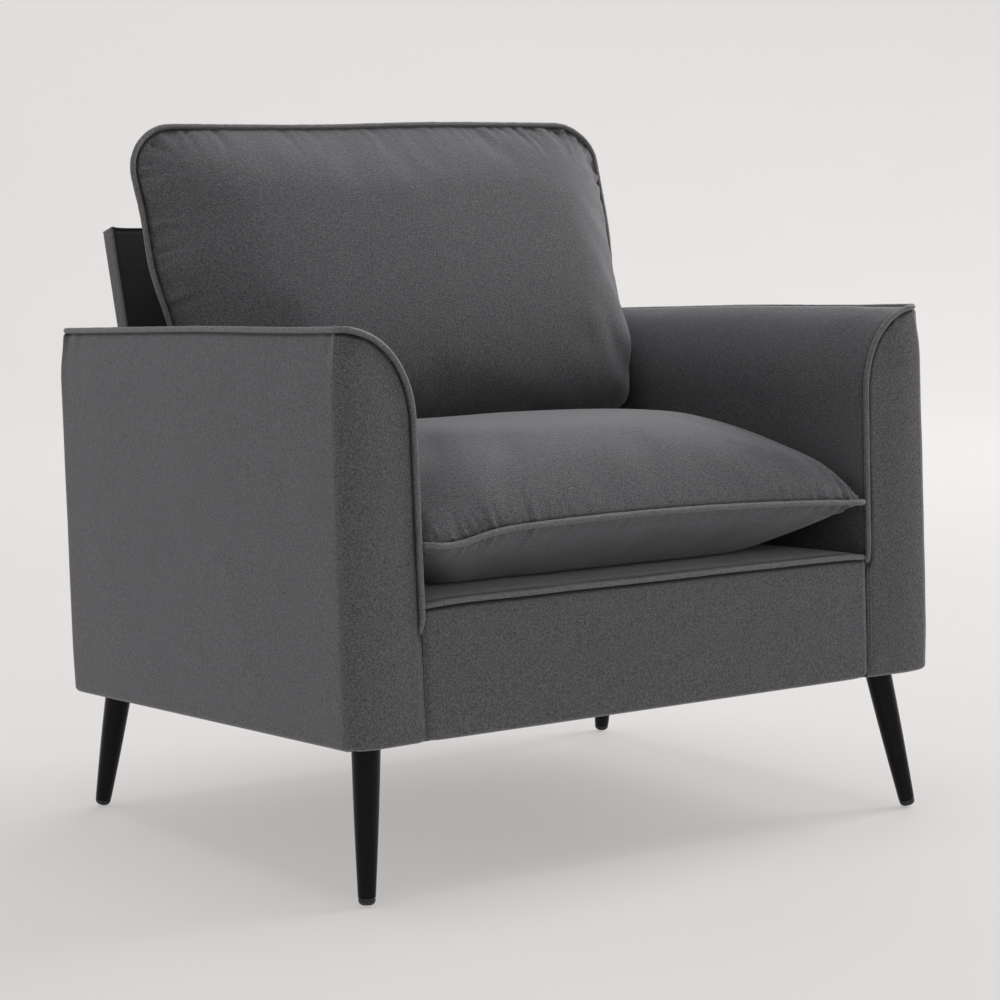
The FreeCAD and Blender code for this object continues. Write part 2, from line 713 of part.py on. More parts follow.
def back_cushion_solid(inset):
    """Pillow back cushion, as eight-sided sections lofted up the raked panel."""
    wires = []
    last = len(BACK_SECTIONS) - 1
    for index, (up, half, front, rear) in enumerate(BACK_SECTIONS):
        level = up + inset if index == 0 else up - inset if index == last else up
        half -= inset
        front = -SEAM_OFFSET - front + inset
        rear = -SEAM_OFFSET + rear - inset
        front_side = (front - SEAM_OFFSET) / 2
        points = [
            Vector(-half, -SEAM_OFFSET, level),
            Vector(-0.86 * half, front_side, level),
            Vector(-0.5 * half, front, level),
            Vector(0.5 * half, front, level),
            Vector(0.86 * half, front_side, level),
            Vector(half, -SEAM_OFFSET, level),
            Vector(0.75 * half, rear, level),
            Vector(-0.75 * half, rear, level),
        ]
        wires.append(Part.makePolygon(points + [points[0]]))
    return lean(Part.makeLoft(wires, True, True))


def back_cushion_welt():
    corners = [Vector(x, -SEAM_OFFSET, up) for x, up in BACK_WELT_POINTS]
    bottom = Vector(0, -SEAM_OFFSET, BACK_WELT_POINTS[0][1])
    path = rounded_path([bottom] + corners + [bottom], [0.0] + BACK_WELT_RADII + [0.0])
    return lean(tube(path, WELT_RADIUS))


def zip_pieces(place, out, across):
    """Zip tape with its coil on a face, and the slider that runs along it."""
    half = ZIP_LENGTH / 2
    corner = place.sub(across * (ZIP_TAPE / 2)).sub(X_AXIS * half)
    width = across * ZIP_TAPE
    tape = Part.Face(
        Part.makePolygon([
            corner,
            corner.add(X_AXIS * ZIP_LENGTH),
            corner.add(X_AXIS * ZIP_LENGTH).add(width),
            corner.add(width),
            corner,
        ])
    ).extrude(out * ZIP_TAPE_THICKNESS)
    coil_line = place.add(out * ZIP_TAPE_THICKNESS)
    coil = rod(coil_line.sub(X_AXIS * half), coil_line.add(X_AXIS * half), ZIP_COIL / 2)
    clear_of_coil = out * (ZIP_COIL / 2 + 0.3 + SLIDER_RADIUS)
    start = coil_line.sub(X_AXIS * (half - 4)).add(clear_of_coil)
    slider = rod(start, start.add(X_AXIS * SLIDER_LENGTH), SLIDER_RADIUS)
    return tape.fuse(coil).removeSplitter(), slider


def add_seat_cushion():
    core = seat_cushion_solid(FABRIC)
    nodes["seat_cushion_cover"] = seat_cushion_solid(0).cut(core)
    nodes["seat_cushion_foam"] = core
    nodes["seat_cushion_welt"] = seat_cushion_welt()
    _, _, _, rear = SEAT_SECTIONS[SEAT_WELT_SECTION]
    place = Vector(0, rear + 0.1, SEAT_WELT_LEVEL - ZIP_BELOW_WELT)
    nodes["seat_cushion_zip"], nodes["seat_cushion_zip_slider"] = zip_pieces(
        place, Vector(0, 1, 0), Z_AXIS
    )


def add_back_cushion():
    core = back_cushion_solid(FABRIC)
    nodes["back_cushion_cover"] = back_cushion_solid(0).cut(core)
    nodes["back_cushion_fill"] = core
    nodes["back_cushion_welt"] = back_cushion_welt()
    y, z = panel_point(SEAM_OFFSET - ZIP_BELOW_WELT, BACK_SECTIONS[0][0])
    angle = math.radians(RAKE)
    down = Vector(0, -math.sin(angle), -math.cos(angle))
    rearward = Vector(0, math.cos(angle), -math.sin(angle))
    nodes["back_cushion_zip"], nodes["back_cushion_zip_slider"] = zip_pieces(
        Vector(0, y, z), down, rearward
    )


# ---------------------------------------------------------------- finished chair
def stand_on_floor():
    """Tilts the body back, lifts it onto its legs and centres its footprint."""
    for shape in nodes.values():
        shape.rotate(ORIGIN, X_AXIS, -BODY_TILT)
        shape.translate(Vector(0, 0, FRONT_LIFT))
    boxes = [shape.optimalBoundingBox(False) for shape in nodes.values()]
    middle = (min(b.YMin for b in boxes) + max(b.YMax for b in boxes)) / 2
    for shape in nodes.values():
        shape.translate(Vector(0, -middle, 0))
    print("front plane sits at y =", round(-middle, 3))


def main():
    add_arms()
    base_frame()
    seat_suspension()
    deck()
    dust_cover()
    add_back()
    leg_nuts = add_legs()
    add_bolts(leg_nuts)
    drill_bolt_holes()
    add_seat_cushion()
    add_back_cushion()
    stand_on_floor()
    os.makedirs("parts", exist_ok=True)
    for name, shape in nodes.items():
        shape.exportStep(os.path.join("parts", name + ".step"))


main()
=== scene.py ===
import json
import math

import bpy
import numpy as np
from mathutils import Matrix, Vector
from mathutils.bvhtree import BVHTree
from mathutils.kdtree import KDTree

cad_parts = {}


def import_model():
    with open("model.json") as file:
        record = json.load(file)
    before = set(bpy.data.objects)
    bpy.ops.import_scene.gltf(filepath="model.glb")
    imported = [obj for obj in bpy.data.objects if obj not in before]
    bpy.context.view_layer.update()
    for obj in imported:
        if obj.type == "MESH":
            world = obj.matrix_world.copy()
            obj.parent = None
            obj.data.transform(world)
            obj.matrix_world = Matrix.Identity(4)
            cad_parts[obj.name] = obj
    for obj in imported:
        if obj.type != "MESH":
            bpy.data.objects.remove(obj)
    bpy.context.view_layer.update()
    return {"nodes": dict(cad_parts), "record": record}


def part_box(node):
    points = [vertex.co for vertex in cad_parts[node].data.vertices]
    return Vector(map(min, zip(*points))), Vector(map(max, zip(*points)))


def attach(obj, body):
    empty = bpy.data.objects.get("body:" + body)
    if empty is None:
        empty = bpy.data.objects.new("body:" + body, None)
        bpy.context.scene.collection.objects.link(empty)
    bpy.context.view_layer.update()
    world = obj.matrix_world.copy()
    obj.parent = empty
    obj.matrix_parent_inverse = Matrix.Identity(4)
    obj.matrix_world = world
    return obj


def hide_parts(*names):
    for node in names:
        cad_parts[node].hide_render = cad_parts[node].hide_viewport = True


# Upholstered armchair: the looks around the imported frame. Everything is in metres.
# Shapes are worked out in the frame of the upholstered body, which is tilted back a
# little: x across, y back from the front plane, z up from the underside.

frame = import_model()
JOINTS = {joint["name"]: joint for joint in frame["record"]["behaviour"]["joints"]}
MM = 0.001

# ---- frames
slide_axis = JOINTS["seat_cushion_slide"]["axis"]
lift_axis = JOINTS["back_cushion_lift"]["axis"]
TILT = math.atan2(slide_axis[2], -slide_axis[1])
RAKE = math.atan2(lift_axis[1], lift_axis[2]) - TILT
FABRIC = 1.5 * MM
border_low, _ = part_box("front_border_cover")
BODY = Matrix.Translation((0, border_low[1], border_low[2] + FABRIC * math.sin(TILT)))
BODY = BODY @ Matrix.Rotation(-TILT, 4, "X")
BACK_FOOT = Vector((0, 558 * MM, 150 * MM))
PANEL = BODY @ Matrix.Translation(BACK_FOOT) @ Matrix.Rotation(-RAKE, 4, "X")
CHAIR = "chair"
SEAT = "seat_cushion"
BACK = "back_cushion"

# ---- dimensions
ARM_OUTER = 400 * MM
ARM_HEIGHT = 427 * MM
ARM_DEPTH = 627 * MM
ARM_WAIST = 88 * MM
ARM_FOOT = 91.5 * MM
SHOULDER = 325 * MM
CROWN = ARM_HEIGHT - SHOULDER
CROWN_POWER = 2.15
FOLD = 13 * MM
ARM_LEAN = 2.5 * MM
ARM_RISE = 3.2 * MM
ARM_STAND_OUT = 3.2 * MM
ARM_PLEAT = 2.6 * MM
CORNER_LIFT = 2.2 * MM
TOP_SEAM = 5.6 * MM
HEM = 6 * MM
HEM_DROP = 1.4 * MM
HEM_RETURN = 16 * MM
WELT_RADIUS = 3.4 * MM
# Painted shade beside piping: full out to the first distance past the cord, gone by the second.
PAINTED_SEAM_SHADE = (1.8 * MM, 4.8 * MM)
WELT_START = 126 * MM
BORDER_HALF = 308 * MM
BORDER_HEIGHT = 142 * MM
DECK_LEVEL = 145.4 * MM
BACK_HALF = 308.5 * MM
BACK_RISE = 412 * MM
BACK_THICKNESS = 25 * MM
BACK_REAR = 625 * MM
SEAM_OFFSET = 135 * MM
BACK_FULLNESS = 98 * MM
PIPING_STAND_OUT = 2.4 * MM
GLIDE_TOP = 9 * MM
LEG_TIP = 8.9 * MM
LEG_TOP = 15.4 * MM
UNDER_CLOTH = 2.2 * MM
SEAM_ROWS = np.array([0.0, 1.2, 2.4, 3.4, 4.4, 5.6, 7.6, 11.0, 17.0]) * MM


# ---- small maths
def ease(value, low, high):
    """0 below low, 1 above high, smooth between."""
    ratio = np.clip((value - low) / (high - low), 0.0, 1.0)
    return ratio * ratio * (3 - 2 * ratio)


def xyz(*parts):
    """Points from their separate coordinates; a single number serves all of them."""
    return np.stack(np.broadcast_arrays(*parts), axis=-1)


def fade(distance, reach):
    return np.exp(-distance / reach)


def bell(distance, reach):
    return np.exp(-((distance / reach) ** 2))


def across(half, step):
    """Places from -half to half, close together near both ends."""
    return (spaced(2 * half, step) - 0.5) * 2 * half


def wave_noise(points, scale, seed, octaves=3):
    """Smooth noise from -1 to 1: summed plane waves in seeded directions."""
    source = np.random.default_rng(seed)
    total = np.zeros(points.shape[:-1])
    weight_sum = 0.0
    for octave in range(octaves):
        weight = 0.6**octave
        for _ in range(5):
            direction = source.normal(size=3)
            direction /= np.linalg.norm(direction)
            phase = source.uniform(0, 2 * math.pi)
            stretch = source.uniform(0.7, 1.3) * 2**octave
            total += weight * np.sin(points @ direction * stretch * 2 * math.pi / scale + phase)
            weight_sum += weight * 0.5
    return total / weight_sum


def spaced(length, step):
    """Fractions from 0 to 1 about a step apart, closer together near both ends."""
    inner = np.linspace(0, length, max(3, int(length / step)) + 1)
    inner = inner[(inner > SEAM_ROWS[-1] * 1.2) & (inner < length - SEAM_ROWS[-1] * 1.2)]
    return np.concatenate([SEAM_ROWS, inner, length - SEAM_ROWS[::-1]]) / length


def seam_dip(distance, depth=3.2 * MM, reach=4.9 * MM):
    """How far cloth turns in beside a seam."""
    return depth * np.exp(-((distance / reach) ** 2.4))


def pleat_wave(along, spacing, seed):
    """Uneven waves from -1 to 1 along a seam."""
    source = np.random.default_rng(seed)
    total = 0 * along
    for ratio in (0.61, 0.83, 1.0, 1.42, 2.1):
        phase = source.uniform(0, 2 * math.pi)
        total = total + np.sin(2 * math.pi * along / (spacing * ratio) + phase)
    return total / 2.6


def world(points, matrix):
    """Points drawn in the frame of a matrix, in the world."""
    forward = np.array(matrix)
    return points @ forward[:3, :3].T + forward[:3, 3]


def local(points, matrix):
    """World points in the frame of a matrix."""
    return world(points, matrix.inverted())


def spans(points):
    """Distance along a line at each of its points."""
    steps = np.linalg.norm(np.diff(points, axis=0), axis=1)
    return np.concatenate([[0], np.cumsum(steps)])


# ---- mesh helpers
CORD_LINES = {}


def nearest_on(line, points):
    """Index of, and distance to, the nearest of a line's points."""
    tree = KDTree(len(line))
    for index, point in enumerate(line):
        tree.insert(point, index)
    tree.balance()
    nearest = np.zeros(len(points), int)
    distance = np.zeros(len(points))
    for index, point in enumerate(points):
        _, nearest[index], distance[index] = tree.find(point)
    return nearest, distance


def paint_seam_shade(piece, *cords):
    """Paints shade into the deep, dark crease where cloth runs in under its piping, as a mark by
    which the cloth's colour darkens.
    """
    line = np.concatenate([CORD_LINES[name] for name in cords])
    _, distance = nearest_on(line, coordinates(piece))
    depth = 1 - ease(distance - WELT_RADIUS, *PAINTED_SEAM_SHADE)
    mark = piece.data.attributes.new("seam", "FLOAT", "POINT")
    mark.data.foreach_set("value", depth)


def read(items, field, width=3, kind=float):
    """One field of all of a mesh's vertices or edges."""
    values = np.empty(len(items) * width, kind)
    items.foreach_get(field, values)
    return values.reshape(-1, width)


def coordinates(piece):
    return read(piece.data.vertices, "co")


def set_coordinates(piece, values):
    piece.data.vertices.foreach_set("co", values.reshape(-1))
    piece.data.update()


def add_object(name, data):
    made = bpy.data.objects.new(name, data)
    bpy.context.scene.collection.objects.link(made)
    return made


def new_object(name, vertices, faces, matrix=BODY):
    mesh = bpy.data.meshes.new(name)
    mesh.from_pydata([tuple(v) for v in vertices], [], faces)
    mesh.transform(matrix)
    mesh.update()
    mesh.shade_smooth()
    return add_object(name, mesh)


def grid_faces(rows, columns, closed=False, offset=0):
    """Quads of a grid whose columns may close into a ring."""
    faces = []
    last = columns if closed else columns - 1
    for row in range(rows - 1):
        for column in range(last):
            beside = (column + 1) % columns
            faces.append((
                offset + row * columns + column,
                offset + row * columns + beside,
                offset + (row + 1) * columns + beside,
                offset + (row + 1) * columns + column,
            ))
    return faces


def sheet(name, node, slot, grids, thickness, flip=False):
    """A cloth or padding of the chair with real thickness, from one or more grids."""
    vertices = []
    faces = []
    for points in grids:
        faces += grid_faces(*points.shape[:2], offset=len(vertices))
        vertices += list(points.reshape(-1, 3))
    made = new_object(name, vertices, faces)
    if flip:
        made.data.flip_normals()
    solid = made.modifiers.new("thickness", "SOLIDIFY")
    solid.thickness = thickness
    solid.offset = -1
    finish_piece(made, CHAIR, slot, node)
    return made


def end_caps(rings, sides):
    """The two end faces of a tube."""
    last = (rings - 1) * sides
    return [tuple(reversed(range(sides))), tuple(range(last, last + sides))]


def resample(points, step, closed=False):
    """Points a step apart along a polyline."""
    line = np.vstack([points, points[:1]]) if closed else np.asarray(points)
    along = spans(line)
    wanted = np.linspace(0, along[-1], max(8, int(along[-1] / step)) + 1)
    if closed:
        wanted = wanted[:-1]
    return np.stack([np.interp(wanted, along, line[:, axis]) for axis in range(3)], axis=1)


def smoothed(points, passes, closed=False):
    line = points.copy()
    for _ in range(passes):
        before = np.roll(line, 1, axis=0)
        after = np.roll(line, -1, axis=0)
        middle = (before + 2 * line + after) / 4
        if not closed:
            middle[0] = line[0]
            middle[-1] = line[-1]
        line = middle
    return line


def cord(name, node, body, points, seed, closed=False, matrix=BODY):
    """Piping: a round cord in self fabric, a little uneven along its length."""
    line = smoothed(resample(points, 3 * MM, closed), 2, closed)
    count = len(line)
    ahead = np.roll(line, -1, axis=0)
    behind = np.roll(line, 1, axis=0)
    if not closed:
        ahead[-1] = line[-1]
        behind[0] = line[0]
    heading = ahead - behind
    heading /= np.linalg.norm(heading, axis=1)[:, None]
    side = np.cross(heading[0], (0.3, 0.2, 1.0))
    side /= np.linalg.norm(side)
    sides = []
    for direction in heading:
        side = side - direction * (side @ direction)
        side /= np.linalg.norm(side)
        sides.append(side)
    sides = np.array(sides)
    others = np.cross(heading, sides)
    ring = 12
    angles = np.arange(ring) / ring * 2 * math.pi
    swell = 1 + 0.05 * wave_noise(line, 22 * MM, seed) + 0.03 * wave_noise(line, 7 * MM, seed + 1)
    radii = (WELT_RADIUS * swell)[:, None, None]
    offsets = sides[:, None, :] * np.cos(angles)[None, :, None]
    offsets = offsets + others[:, None, :] * np.sin(angles)[None, :, None]
    vertices = (line[:, None, :] + offsets * radii).reshape(-1, 3)
    faces = grid_faces(count, ring, closed=True)
    last = (count - 1) * ring
    if closed:
        for index in range(ring):
            beside = (index + 1) % ring
            faces.append((last + index, last + beside, beside, index))
    else:
        faces += end_caps(count, ring)
    made = new_object(name, vertices, faces, matrix)
    made.data.flip_normals()
    CORD_LINES[name] = world(resample(line, 1.2 * MM, closed), matrix)
    return finish_piece(made, body, "welt_fabric", node)


def mirrored(points):
    return points * np.array([-1.0, 1.0, 1.0])


# ---- materials
class Surface:
    """A procedural material in the making: its nodes, shader, colour and coordinates."""

    def __init__(self, name, colour, roughness):
        self.material = bpy.data.materials.new(name)
        self.material.use_nodes = True
        self.tree = self.material.node_tree
        self.shader = self.tree.nodes["Principled BSDF"]
        self.colour = colour
        self.feed(self.shader, {"Roughness": roughness})
        self.place = self.node("TexCoord", {}, "Object")

    def feed(self, node, inputs):
        """Gives a node's inputs, by name or number, their links or constants."""
        for key, value in inputs.items():
            if isinstance(value, bpy.types.NodeSocket):
                self.tree.links.new(value, node.inputs[key])
            else:
                node.inputs[key].default_value = value

    def node(self, kind, inputs, output, **settings):
        """One output of a new node."""
        made = self.tree.nodes.new("ShaderNode" + kind)
        for key, value in settings.items():
            setattr(made, key, value)
        self.feed(made, inputs)
        return made.outputs[output]

    def noise(self, scale, detail, roughness, stretch=None):
        """Noise, drawn out along one direction if there is a stretch."""
        place = self.place
        if stretch:
            place = self.node("Mapping", {"Vector": place, "Scale": stretch}, "Vector")
        values = {"Vector": place, "Scale": scale, "Detail": detail, "Roughness": roughness}
        return self.node("TexNoise", values, "Fac")

    def cells(self, scale):
        return self.node("TexVoronoi", {"Vector": self.place, "Scale": scale}, "Distance")

    def ramp(self, value, low, high):
        """Maps a range of a value onto 0 to 1."""
        return self.node("MapRange", {"Value": value, "From Min": low, "From Max": high}, "Result")

    def add(self, first, second, weight):
        """first + weight * second"""
        return self.node("Math", {0: second, 1: weight, 2: first}, 0, operation="MULTIPLY_ADD")

    def mix(self, factor, first, second):
        """Mixes two colours by a factor; each is a socket or a constant."""
        return self.node("Mix", {0: factor, 6: first, 7: second}, 2, data_type="RGBA")

    def shade(self, factor):
        return (*(part * factor for part in self.colour), 1.0)

    def tones(self, value, low, high, dark, light):
        """The colour at two strengths, mixed over a range of a value."""
        return self.mix(self.ramp(value, low, high), self.shade(dark), self.shade(light))

    def finish(self, tone, relief, distance, strength=1.0, **extra):
        """Joins up the colour and the relief; extra shader inputs have _ for a space."""
        bump = {"Height": relief, "Distance": distance, "Strength": strength}
        inputs = {key.replace("_", " "): value for key, value in extra.items()}
        inputs["Base Color"] = tone
        inputs["Normal"] = self.node("Bump", bump, "Normal")
        self.feed(self.shader, inputs)
        return self.material


def fabric(name, colour, roughness, gloss, sheen):
    """Fine plain weave: crossed melange yarns, their relief, soft blotches and a low sheen."""
    made = Surface(name, colour, roughness)
    warp = made.noise(820.0, 2.0, 0.6, (1.0, 1.0, 0.4))
    weft = made.noise(820.0, 2.0, 0.6, (0.4, 0.4, 1.0))
    fibres = made.noise(540.0, 3.0, 0.80)
    slubs = made.noise(230.0, 3.0, 0.6)
    blotches = made.noise(5.5, 4.0, 0.5)
    crossed = made.add(warp, weft, 1.0)
    yarns = made.tones(crossed, 0.86, 1.14, 0.40, 1.60)
    melange = made.tones(fibres, 0.43, 0.57, 0.22, 1.78)
    slubbed = made.tones(slubs, 0.50, 0.72, 0.65, 1.60)
    woven = made.mix(0.12, made.mix(0.65, yarns, melange), slubbed)
    final = made.mix(0.14, woven, made.tones(blotches, 0.30, 0.72, 0.88, 1.12))
    edges = made.ramp(made.node("NewGeometry", {}, "Pointiness"), 0.53, 0.60)
    final = made.mix(0.35, final, made.mix(edges, final, made.shade(1.45)))
    # Painted shade: the cloth goes almost black in the crease beside its piping, by the seam mark.
    seam = made.node("Attribute", {}, "Fac", attribute_name="seam")
    final = made.mix(seam, final, made.shade(0.06))
    relief = made.add(made.add(crossed, fibres, 0.7), slubs, 0.35)
    return made.finish(
        final, relief, 0.0008, 0.75, Specular_IOR_Level=gloss, Sheen_Weight=sheen,
        Sheen_Roughness=0.38, Sheen_Tint=(0.80, 0.80, 0.84, 1.0),
    )


def foam(name, colour):
    made = Surface(name, colour, 0.9)
    cells = made.cells(700.0)
    return made.finish(made.mix(cells, made.shade(0.8), made.shade(1.05)), cells, 0.0006)


def fibre(name, colour):
    made = Surface(name, colour, 0.95)
    fibres = made.noise(420.0, 6.0, 0.75)
    return made.finish(made.tones(fibres, 0.3, 0.7, 0.85, 1.02), fibres, 0.0012)


def wood(name, colour, rings=38.0, roughness=0.6):
    """Straight grain along y with growth bands and fine pores."""
    made = Surface(name, colour, roughness)
    along_y = (1.0, 0.09, 1.0)
    grain = made.noise(rings, 6.0, 0.65, along_y)
    pores = made.noise(rings * 18, 3.0, 0.6, along_y)
    tone = made.tones(grain, 0.32, 0.68, 0.62, 1.08)
    tone = made.mix(0.4, tone, made.mix(made.ramp(pores, 0.55, 0.75), tone, made.shade(0.5)))
    return made.finish(tone, made.add(grain, pores, 0.4), 0.0004)


def steel(name, colour, metallic=1.0, roughness=0.35):
    made = Surface(name, colour, roughness)
    brushing = made.noise(900.0, 4.0, 0.6, (0.1, 1.0, 1.0))
    tone = made.tones(made.noise(30.0, 4.0, 0.6), 0.35, 0.75, 1.05, 0.75)
    return made.finish(tone, brushing, 0.00008, Metallic=metallic)


def lacquer(name, colour):
    """Satin black paint over turned wood, with faint turning marks and dust."""
    made = Surface(name, colour, 0.24)
    marks = made.noise(55.0, 4.0, 0.6)
    specks = made.noise(850.0, 2.0, 0.5)
    dust = (0.025, 0.026, 0.026, 1.0)
    tone = made.tones(marks, 0.35, 0.70, 0.8, 1.5)
    tone = made.mix(0.5, tone, made.mix(made.ramp(specks, 0.68, 0.80), tone, dust))
    return made.finish(
        tone, made.add(marks, specks, 0.2), 0.00015,
        Roughness=made.ramp(marks, -0.45, 3.2), Specular_IOR_Level=0.15,
    )


def plastic(name, colour):
    made = Surface(name, colour, 0.55)
    moulding = made.noise(1800.0, 3.0, 0.6)
    scuffs = made.noise(120.0, 5.0, 0.65)
    return made.finish(made.tones(scuffs, 0.45, 0.75, 0.9, 1.5), moulding, 0.00006)


def cloth(name, colour, scale=600.0):
    """Nonwoven or tape cloth: pressed fibres with a dimpled face."""
    made = Surface(name, colour, 0.9)
    fibres = made.noise(scale, 5.0, 0.7)
    relief = made.add(fibres, made.cells(380.0), 0.8)
    return made.finish(made.tones(fibres, 0.3, 0.7, 0.7, 1.4), relief, 0.0004)


MATERIALS = {name: make(name, *details) for make, name, *details in (
    (fabric, "cover_fabric", (0.0895, 0.0895, 0.0965), 0.68, 0.42, 0.6),
    # The piping's cloth is the cover cloth painted a little lighter: a painted highlight on the
    # cords.
    (fabric, "welt_fabric", (0.098, 0.098, 0.104), 0.44, 0.75, 0.5),
    (foam, "foam", (0.80, 0.74, 0.52)),
    (fibre, "fibre", (0.80, 0.80, 0.78)),
    (cloth, "lining_cloth", (0.022, 0.022, 0.024)),
    (cloth, "webbing", (0.22, 0.20, 0.17), 900.0),
    (lacquer, "black_wood", (0.0018, 0.0024, 0.0023)),
    (wood, "softwood", (0.62, 0.44, 0.25)),
    (wood, "plywood", (0.56, 0.40, 0.24), 60.0),
    (wood, "hardboard", (0.24, 0.14, 0.08), 140.0, 0.75),
    (plastic, "glide_plastic", (0.010, 0.010, 0.011)),
    (steel, "spring_steel", (0.42, 0.42, 0.42)),
    (steel, "zinc_steel", (0.58, 0.58, 0.56)),
    (cloth, "zip_tape", (0.018, 0.018, 0.02), 1200.0),
    (steel, "zip_metal", (0.04, 0.04, 0.042), 0.0, 0.4),
)}


def finish_piece(piece, body, slot, *nodes):
    """Material, slot, body and the CAD nodes that a piece stands for."""
    piece.data.materials.clear()
    piece.data.materials.append(MATERIALS[slot])
    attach(piece, body)
    if nodes:
        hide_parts(*nodes)
    return piece


def dress_cad_nodes():
    slots = {part["node"]: part["material_slot"] for part in frame["record"]["subparts"]}
    for name, node in frame["nodes"].items():
        node.data.materials.clear()
        node.data.materials.append(MATERIALS[slots[name]])


# ---- arms
# Arm shapes are drawn with u, the distance in from the outer face, on the left arm.
def crown_curve(angles):
    """Points (u, z) from the top of the outer face, angle 0, to the shoulder, 90 degrees."""
    u = ARM_WAIST * np.abs(np.sin(angles)) ** (2 / CROWN_POWER)
    z = SHOULDER + CROWN * np.abs(np.cos(angles)) ** (2 / CROWN_POWER)
    return u, z


def crown_height(u):
    share = np.clip(u, 0, ARM_WAIST) / ARM_WAIST
    return SHOULDER + CROWN * (1 - share**CROWN_POWER) ** (1 / CROWN_POWER)


def inner_face(z):
    """u of the inner side below the shoulder."""
    return ARM_WAIST + (ARM_FOOT - ARM_WAIST) * (1 - z / SHOULDER)


def front_seam():
    """Seam of the front plate: up the inner edge, then over the crown to the outside."""
    heights = np.linspace(0, SHOULDER, 60)[:-1]
    u, z = crown_curve(np.linspace(math.pi / 2, 0.0, 90))
    return np.concatenate([xyz(inner_face(heights), heights), xyz(u, z)])


def seam_distance(u, z):
    """Distance in the front plane from each point to the front seam, and where along it."""
    seam = front_seam()
    along = spans(seam)
    flat = xyz(u, z).reshape(-1, 2)
    gaps = np.linalg.norm(flat[:, None, :] - seam[None, :, :], axis=2)
    return gaps.min(axis=1).reshape(u.shape), along[gaps.argmin(axis=1)].reshape(u.shape)


def arm_bow(y, z):
    """How far the top of an arm rises behind its front."""
    return ARM_RISE * ease(y, 60 * MM, 330 * MM) * ease(z, 250 * MM, ARM_HEIGHT)


def hem_inset(z):
    """The cover rounds under at the bottom edge."""
    low = np.clip(HEM - z, 0, HEM)
    return HEM - np.sqrt(np.maximum(HEM**2 - low**2, 0))


def turned_under(face, inward_x, inward_y, level):
    """Adds the two rows of a cover that lie under its bottom edge."""
    under = np.stack([face[0], face[0]])
    for row, reach in zip(under, (1.0, 0.5)):
        row[:, 0] += inward_x * HEM_RETURN * reach
        row[:, 1] += inward_y * HEM_RETURN * reach
        row[:, 2] = level
    return np.concatenate([under, face])


def arm_wrap(inset, seed):
    """Grid of the outer cover: front plate, outer side and rear plate in one cloth."""
    plate = spaced(ARM_FOOT - FOLD, 4 * MM)[:-8]
    fold_angles = np.linspace(0, math.pi / 2, 9)[1:-1]
    sides = np.linspace(FOLD, ARM_DEPTH - FOLD, 64)
    heights = spaced(ARM_HEIGHT, 8 * MM)
    low_rows = np.linspace(0, 3 * HEM / ARM_HEIGHT, 9)
    middle_rows = heights[(heights > 3.4 * HEM / ARM_HEIGHT) & (heights < 0.74)]
    top_rows = np.concatenate([np.linspace(0.75, 0.95, 24), heights[heights > 0.952]])
    heights = np.concatenate([low_rows, middle_rows, top_rows])
    # Each column: u and y at the foot, u and z at the top, and the normal's u and y.
    top = crown_curve(math.pi / 2 * (1 - plate))
    front = xyz(ARM_FOOT + (FOLD - ARM_FOOT) * plate, 0, *top, 0, 1)
    sine, cosine = np.sin(fold_angles), np.cos(fold_angles)
    u = FOLD - FOLD * sine
    fold = xyz(u, FOLD - FOLD * cosine, u, crown_height(u), sine, cosine)
    front = np.concatenate([front, fold])
    rear = front[::-1] * (1, -1, 1, 1, 1, -1) + (0, ARM_DEPTH, 0, 0, 0, 0)
    table = np.concatenate([front, xyz(0, sides, 0, ARM_HEIGHT, 1, 0), rear])
    foot_u, y, top_u, top_z, normal_u, normal_y = table.T[:, None, :]
    share = heights[:, None]
    u = foot_u * (1 - share) + top_u * share
    z = share * top_z + 0 * u
    y = y + 0 * u
    on_plate = np.abs(normal_y) * np.ones_like(u)
    plate_gap, along = seam_distance(u, z)
    to_seam = np.where(on_plate > 0.5, plate_gap, (top_z - z))
    along = np.where(on_plate > 0.5, along, 0.6 + y)
    depth = hem_inset(z) + inset
    depth = depth + seam_dip(to_seam)
    lean = ARM_LEAN * (z / ARM_HEIGHT) ** 2 + 1.2 * MM * fade(to_seam, 12 * MM)
    depth = depth + (1 - on_plate) * lean - ARM_STAND_OUT * ease(to_seam, 0, 60 * MM)
    puff = ease(to_seam, 0, 45 * MM) * ease(z, 0, 60 * MM)
    depth = depth - puff * (1.8 * MM * on_plate + 1.2 * MM * (1 - on_plate))
    depth = depth + puff * 0.5 * MM * wave_noise(xyz(u, y, z), 0.22, seed)
    near_fold = bell(y - FOLD, 60 * MM) + bell(ARM_DEPTH - y - FOLD, 60 * MM)
    pleats = fade(to_seam, 13 * MM) * ease(to_seam, 1 * MM, 5 * MM)
    pleats = pleats * (on_plate * ease(z, 325 * MM, 405 * MM) + (1 - on_plate) * near_fold)
    depth = depth + pleats * ARM_PLEAT * pleat_wave(along, 12 * MM, seed + 5)
    corner = np.abs(normal_u * normal_y) * 2 + 0 * u
    lowered = HEM_DROP * (1 - z / ARM_HEIGHT) - CORNER_LIFT * corner * fade(z, 6 * MM)
    u = u + normal_u * depth
    y = y + normal_y * depth
    wrap = xyz(u - ARM_OUTER, y, z - lowered + arm_bow(y, z))
    return turned_under(wrap, normal_u[0], normal_y[0], inset - HEM_DROP)


